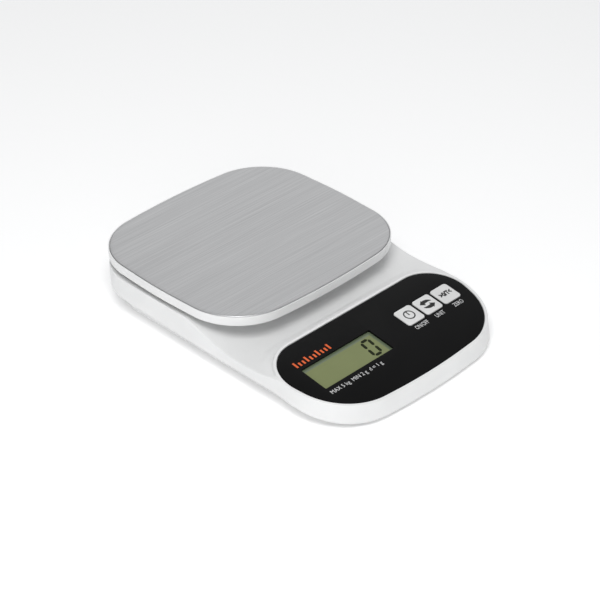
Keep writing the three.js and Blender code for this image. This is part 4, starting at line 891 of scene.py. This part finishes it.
def lettering(name, text, left, right, low, high, material, body, face=0.0, bold=0.0):
    """A line of plain text stretched to fill a rectangle of the console, as a thin layer of ink."""
    line = bpy.data.curves.new(name, "FONT")
    line.body = text
    line.resolution_u = 3
    line.extrude = 0.5
    line.offset = bold
    maker = bpy.data.objects.new(name, line)
    scene.collection.objects.link(maker)
    bpy.context.view_layer.update()
    drawn = bpy.data.meshes.new_from_object(maker.evaluated_get(bpy.context.evaluated_depsgraph_get()))
    bpy.data.objects.remove(maker)
    raw = np.array([vertex.co for vertex in drawn.vertices])
    share = (raw - raw.min(0)) / (raw.max(0) - raw.min(0))
    placed = on_console(
        left + share[:, 0] * (right - left), low + share[:, 1] * (high - low), face + share[:, 2] * INK
    )
    faces = [list(polygon.vertices) for polygon in drawn.polygons]
    return piece(name, [(placed, faces)], material, body)


for key, text, start_x, end_x, low_v, high_v in (
    ("power", "ON/OFF", 19.7, 30.2, -2.3, 0.8),
    ("unit", "UNIT", 36.9, 44.1, -2.3, 0.8),
    ("zero", "ZERO", 52.4, 60.2, -2.3, 0.8),
    ("range", "MAX 5 kg  MIN 2 g  d = 1 g", -57.7, -17.2, -10.8, -7.2),
):
    lettering(f"legend_{key}", text, start_x, end_x, low_v, high_v, ink_white, "base")

# A short row of graduation marks stands above the display, every third one taller.
TICK_WIDTH, TICK_LOW = 1.3, 17.5
ticks = []
for index, start_x in enumerate(np.linspace(-58.1, -30.8 - TICK_WIDTH, 10)):
    end_x, high_v = start_x + TICK_WIDTH, 22.0 if index % 3 == 0 else 20.4
    shape = [(start_x, TICK_LOW), (end_x, TICK_LOW), (end_x, high_v), (start_x, high_v)]
    ticks.append(slab(shape, 0, INK))
piece("legend_graduation", ticks, ink_orange, "base")

# ------------------------------------------------------------------------ display
# The display is an olive liquid crystal cell under glass, seated below the panel, that
# shows a single zero; rubber strips and a white frame hold it over the board.
SMOOTH = (0.1, 60.0, 0.0)
crystal, crystal_shader = plastic(
    "liquid_crystal", (0.165, 0.195, 0.062), (0.185, 0.215, 0.072), 0.3, *SMOOTH
)
glass_edge, glass_shader = plastic("glass_edge", (0.13, 0.165, 0.1), (0.15, 0.185, 0.115), 0.3, *SMOOTH)
for shader in (crystal_shader, glass_shader):
    shader.inputs["Coat Weight"].default_value = 0.6
    shader.inputs["Coat Roughness"].default_value = 0.08
crystal_ink, crystal_ink_shader = plastic(
    "crystal_ink", (0.012, 0.016, 0.006), (0.018, 0.023, 0.009), 0.4, *SMOOTH
)
crystal_ink_shader.inputs["Specular IOR Level"].default_value = 0.1
glass_rings = []
for inset, depth in ((0.3, GLASS_THICK), (0, GLASS_THICK - 0.3), (0, 0.25), (0.25, 0)):
    ring, _ = rounded_box(GLASS_WIDTH - 2 * inset, GLASS_DEPTH - 2 * inset, 0.5, LCD_X, LCD_V)
    glass_rings.append(on_console(*ring.T, -GLASS_SUNK - depth))
piece("display_cell", [capped(glass_rings)], glass_edge, "base", ["display_glass"])
FILM = 0.08
film_face = -GLASS_SUNK + FILM
film, _ = rounded_box(54.0, 18.2, 0.3, LCD_X - 1.3, LCD_V - 1.5)
piece("display_film", [slab(film, -GLASS_SUNK, film_face)], crystal, "base")

DIGIT_LEFT, DIGIT_RIGHT, DIGIT_LOW, DIGIT_HIGH = -15.8, -6.9, -2.4, 12.2
BAR, BAR_GAP, DIGIT_LEAN = 1.95, 0.3, 0.085


def segment(start, end):
    """A display segment between two corners of the digit, with pointed ends, leaning with the digit."""
    start, end = np.array(start, float), np.array(end, float)
    along = (end - start) / np.linalg.norm(end - start)
    side = np.array([-along[1], along[0]]) * BAR / 2
    start, end = start + along * BAR_GAP, end - along * BAR_GAP
    shape = [start, start + along * BAR / 2 - side, end - along * BAR / 2 - side]
    shape += [end, end - along * BAR / 2 + side, start + along * BAR / 2 + side]
    leaned = [(x + (v - DIGIT_LOW) * DIGIT_LEAN, v) for x, v in shape]
    return slab(leaned, film_face, film_face + 0.02)


middle_v = (DIGIT_LOW + DIGIT_HIGH) / 2
digit_left, digit_right = DIGIT_LEFT + BAR / 2, DIGIT_RIGHT - BAR / 2 - (DIGIT_HIGH - DIGIT_LOW) * DIGIT_LEAN
digit_low, digit_high = DIGIT_LOW + BAR / 2, DIGIT_HIGH - BAR / 2
segments = [segment((digit_left, v), (digit_right, v)) for v in (digit_low, digit_high)]
for x in (digit_left, digit_right):
    segments += [segment((x, digit_low), (x, middle_v)), segment((x, middle_v), (x, digit_high))]
piece("display_zero", segments, crystal_ink, "base")
zebra_rubber, _ = plastic("zebra_rubber", (0.42, 0.34, 0.31), (0.5, 0.42, 0.38), 0.7, 0.2, 3000.0, 1e-5)
wears(["display_frame"], white_abs)
wears(["zebra_strip_front", "zebra_strip_back"], zebra_rubber)

# ------------------------------------------------------------------------ keys
# Three square grey keys with rounded edges, each over a tact switch. Each key carries a
# black symbol printed on its face: power, change of unit, and zero or tare.
key_grey, _ = plastic("key_grey", (0.62, 0.62, 0.615), (0.8, 0.8, 0.795), 0.5, 0.1, 1100.0, 1.2e-5)
KEY_PROUD, KEY_FLANGE, FLANGE_THICK, KEY_ROUND = 0.5, 0.65, 0.8, 0.35
flange_top = -PANEL_THICK - GAP - SHELF - GAP
flange_low = flange_top - FLANGE_THICK
NIB_RADIUS, nib_low = 1.6, -4.75
key_ink = (KEY_PROUD - 0.03, KEY_PROUD + INK)


def key_ring(x, grow, w):
    """The key's rounded square grown by grow on each side, at w."""
    points, out = rounded_box(KEY_SIZE, KEY_SIZE, KEY_CORNER, x, KEY_V)
    return on_console(*(points + grow * out).T, w)


def key_cap(x):
    """The key's cap on its flange, with a rounded and slightly domed top, and the nib under it."""
    rings = [key_ring(x, KEY_FLANGE - 0.05, flange_low), key_ring(x, KEY_FLANGE, flange_low + 0.1)]
    rings += [key_ring(x, KEY_FLANGE, flange_top - 0.1), key_ring(x, KEY_FLANGE - 0.1, flange_top)]
    rings += [key_ring(x, 0, flange_top)]
    rings += [
        key_ring(x, -KEY_ROUND * (1 - math.cos(a)), KEY_PROUD - 0.05 - KEY_ROUND * (1 - math.sin(a)))
        for a in np.radians(np.linspace(0, 90, 6))
    ]
    middle = on_console(x, KEY_V, KEY_PROUD)
    top = rings[-1]
    rings += [top + (middle - top) * share for share in (0.3, 0.6, 0.9)]
    cap = band(rings, on_console(x, KEY_V, flange_low), middle)
    nib_heights = (nib_low, nib_low + 0.3, flange_low + 0.01)
    nib_rings = [
        on_console(x + r * np.cos(circle), KEY_V + r * np.sin(circle), w)
        for r, w in zip((NIB_RADIUS - 0.3, NIB_RADIUS, NIB_RADIUS), nib_heights)
    ]
    return [cap, band(nib_rings, *(on_console(x, KEY_V, w) for w in nib_heights[::2]))]


def ribbon(points, widths):
    """The outline of a stroke along points with these widths."""
    points, widths = np.asarray(points, float), np.asarray(widths, float)
    along = np.gradient(points, axis=0)
    along /= np.linalg.norm(along, axis=1)[:, None]
    side = np.stack([-along[:, 1], along[:, 0]], 1) * widths[:, None] / 2
    return np.concatenate([points - side, (points + side)[::-1]])


def stroke(x, points, widths):
    """A stroke of ink on the key at x, as quads from side to side."""
    edge = ribbon(points, widths) + (x, KEY_V)
    count = len(edge)
    parts = []
    for i in range(len(points) - 1):
        quad = [edge[i], edge[i + 1], edge[count - 2 - i], edge[count - 1 - i]]
        parts.append(slab(quad, *key_ink))
    return parts


def hoop(x, radius, width):
    """A flat ring of ink on the key at x."""
    low, high = key_ink
    inner, outer = radius - width / 2, radius + width / 2
    edges = ((inner, low), (inner, high), (outer, high), (outer, low), (inner, low))
    angle = np.radians(np.arange(0, 360, 6))
    return band([on_console(x + r * np.cos(angle), KEY_V + r * np.sin(angle), w) for r, w in edges])


for name, x in key_places.items():
    piece(f"key_{name}_cap", key_cap(x), key_grey, f"key_{name}", [f"key_{name}"], weld=False)
power_x, unit_x, zero_x = key_places.values()
bar = np.array([(0.0, share) for share in np.linspace(-0.3, 3.6, 4)])
LINE = 0.8
power_mark = [hoop(power_x, 3.3, LINE), *stroke(power_x, bar, np.full(len(bar), LINE))]
piece("symbol_power", power_mark, ink_black, "key_power")
swoosh = np.array([(4.2, 1.0), (3.0, 1.8), (1.6, 2.3), (0.1, 2.45), (-1.6, 2.3)])
swoosh_widths = np.array([0.3, 1.3, 2.1, 2.5, 2.6])
arrow_head = np.array([(-1.4, 4.3), (-4.5, 1.9), (-1.4, -0.3)])
unit_mark = stroke(unit_x, swoosh, swoosh_widths) + stroke(unit_x, -swoosh, swoosh_widths)
for turn in (1, -1):
    unit_mark.append(slab(arrow_head * turn + (unit_x, KEY_V), *key_ink))
piece("symbol_unit", unit_mark, ink_black, "key_unit")
lettering(
    "symbol_zero", ">0/T<", zero_x - 4.7, zero_x + 4.7, KEY_V - 1.9, KEY_V + 1.9,
    ink_black, "key_zero", KEY_PROUD, 0.06,
)

# ------------------------------------------------------------------------ board and wiring
# Under the console lies a green glass-fibre board with tact switches and a resin blob over
# the chip; a grey cable comes from the load cell, a red and a black lead from the cells.
solder_mask, mask_shader = plastic(
    "solder_mask", (0.008, 0.06, 0.022), (0.012, 0.09, 0.035), 0.3, 0.2, 900.0, 5e-6
)
mask_shader.inputs["Coat Weight"].default_value = 0.3
black_resin, _ = plastic("black_resin", (0.008, 0.008, 0.008), (0.015, 0.015, 0.014), 0.25, 0.1, 300.0, 1e-5)
switch_black, _ = plastic(
    "switch_black", (0.015, 0.015, 0.016), (0.022, 0.022, 0.023), 0.45, 0.1, 2000.0, 6e-6
)
plunger_brown, _ = plastic("plunger_brown", (0.11, 0.06, 0.03), (0.14, 0.08, 0.04), 0.4, 0.1, 2000.0, 6e-6)
red_vinyl, _ = plastic("red_vinyl", (0.38, 0.015, 0.015), (0.46, 0.02, 0.018), 0.45, 0.1, 900.0, 4e-6)
black_vinyl, _ = plastic("black_vinyl", (0.012, 0.012, 0.013), (0.018, 0.018, 0.02), 0.45, 0.1, 900.0, 4e-6)
grey_vinyl, _ = plastic("grey_vinyl", (0.3, 0.3, 0.31), (0.37, 0.37, 0.38), 0.5, 0.1, 900.0, 4e-6)
wears(["main_board"], solder_mask)
wears(["chip_blob"], black_resin)
wears([f"board_screw_{i}" for i in range(1, 5)], zinc)
for name in key_places:
    wears([f"switch_{name}"], switch_black)
    wears([f"plunger_{name}"], plunger_brown)
wears(["battery_lead_red"], red_vinyl)
wears(["battery_lead_black"], black_vinyl)
wears(["cell_cable"], grey_vinyl)
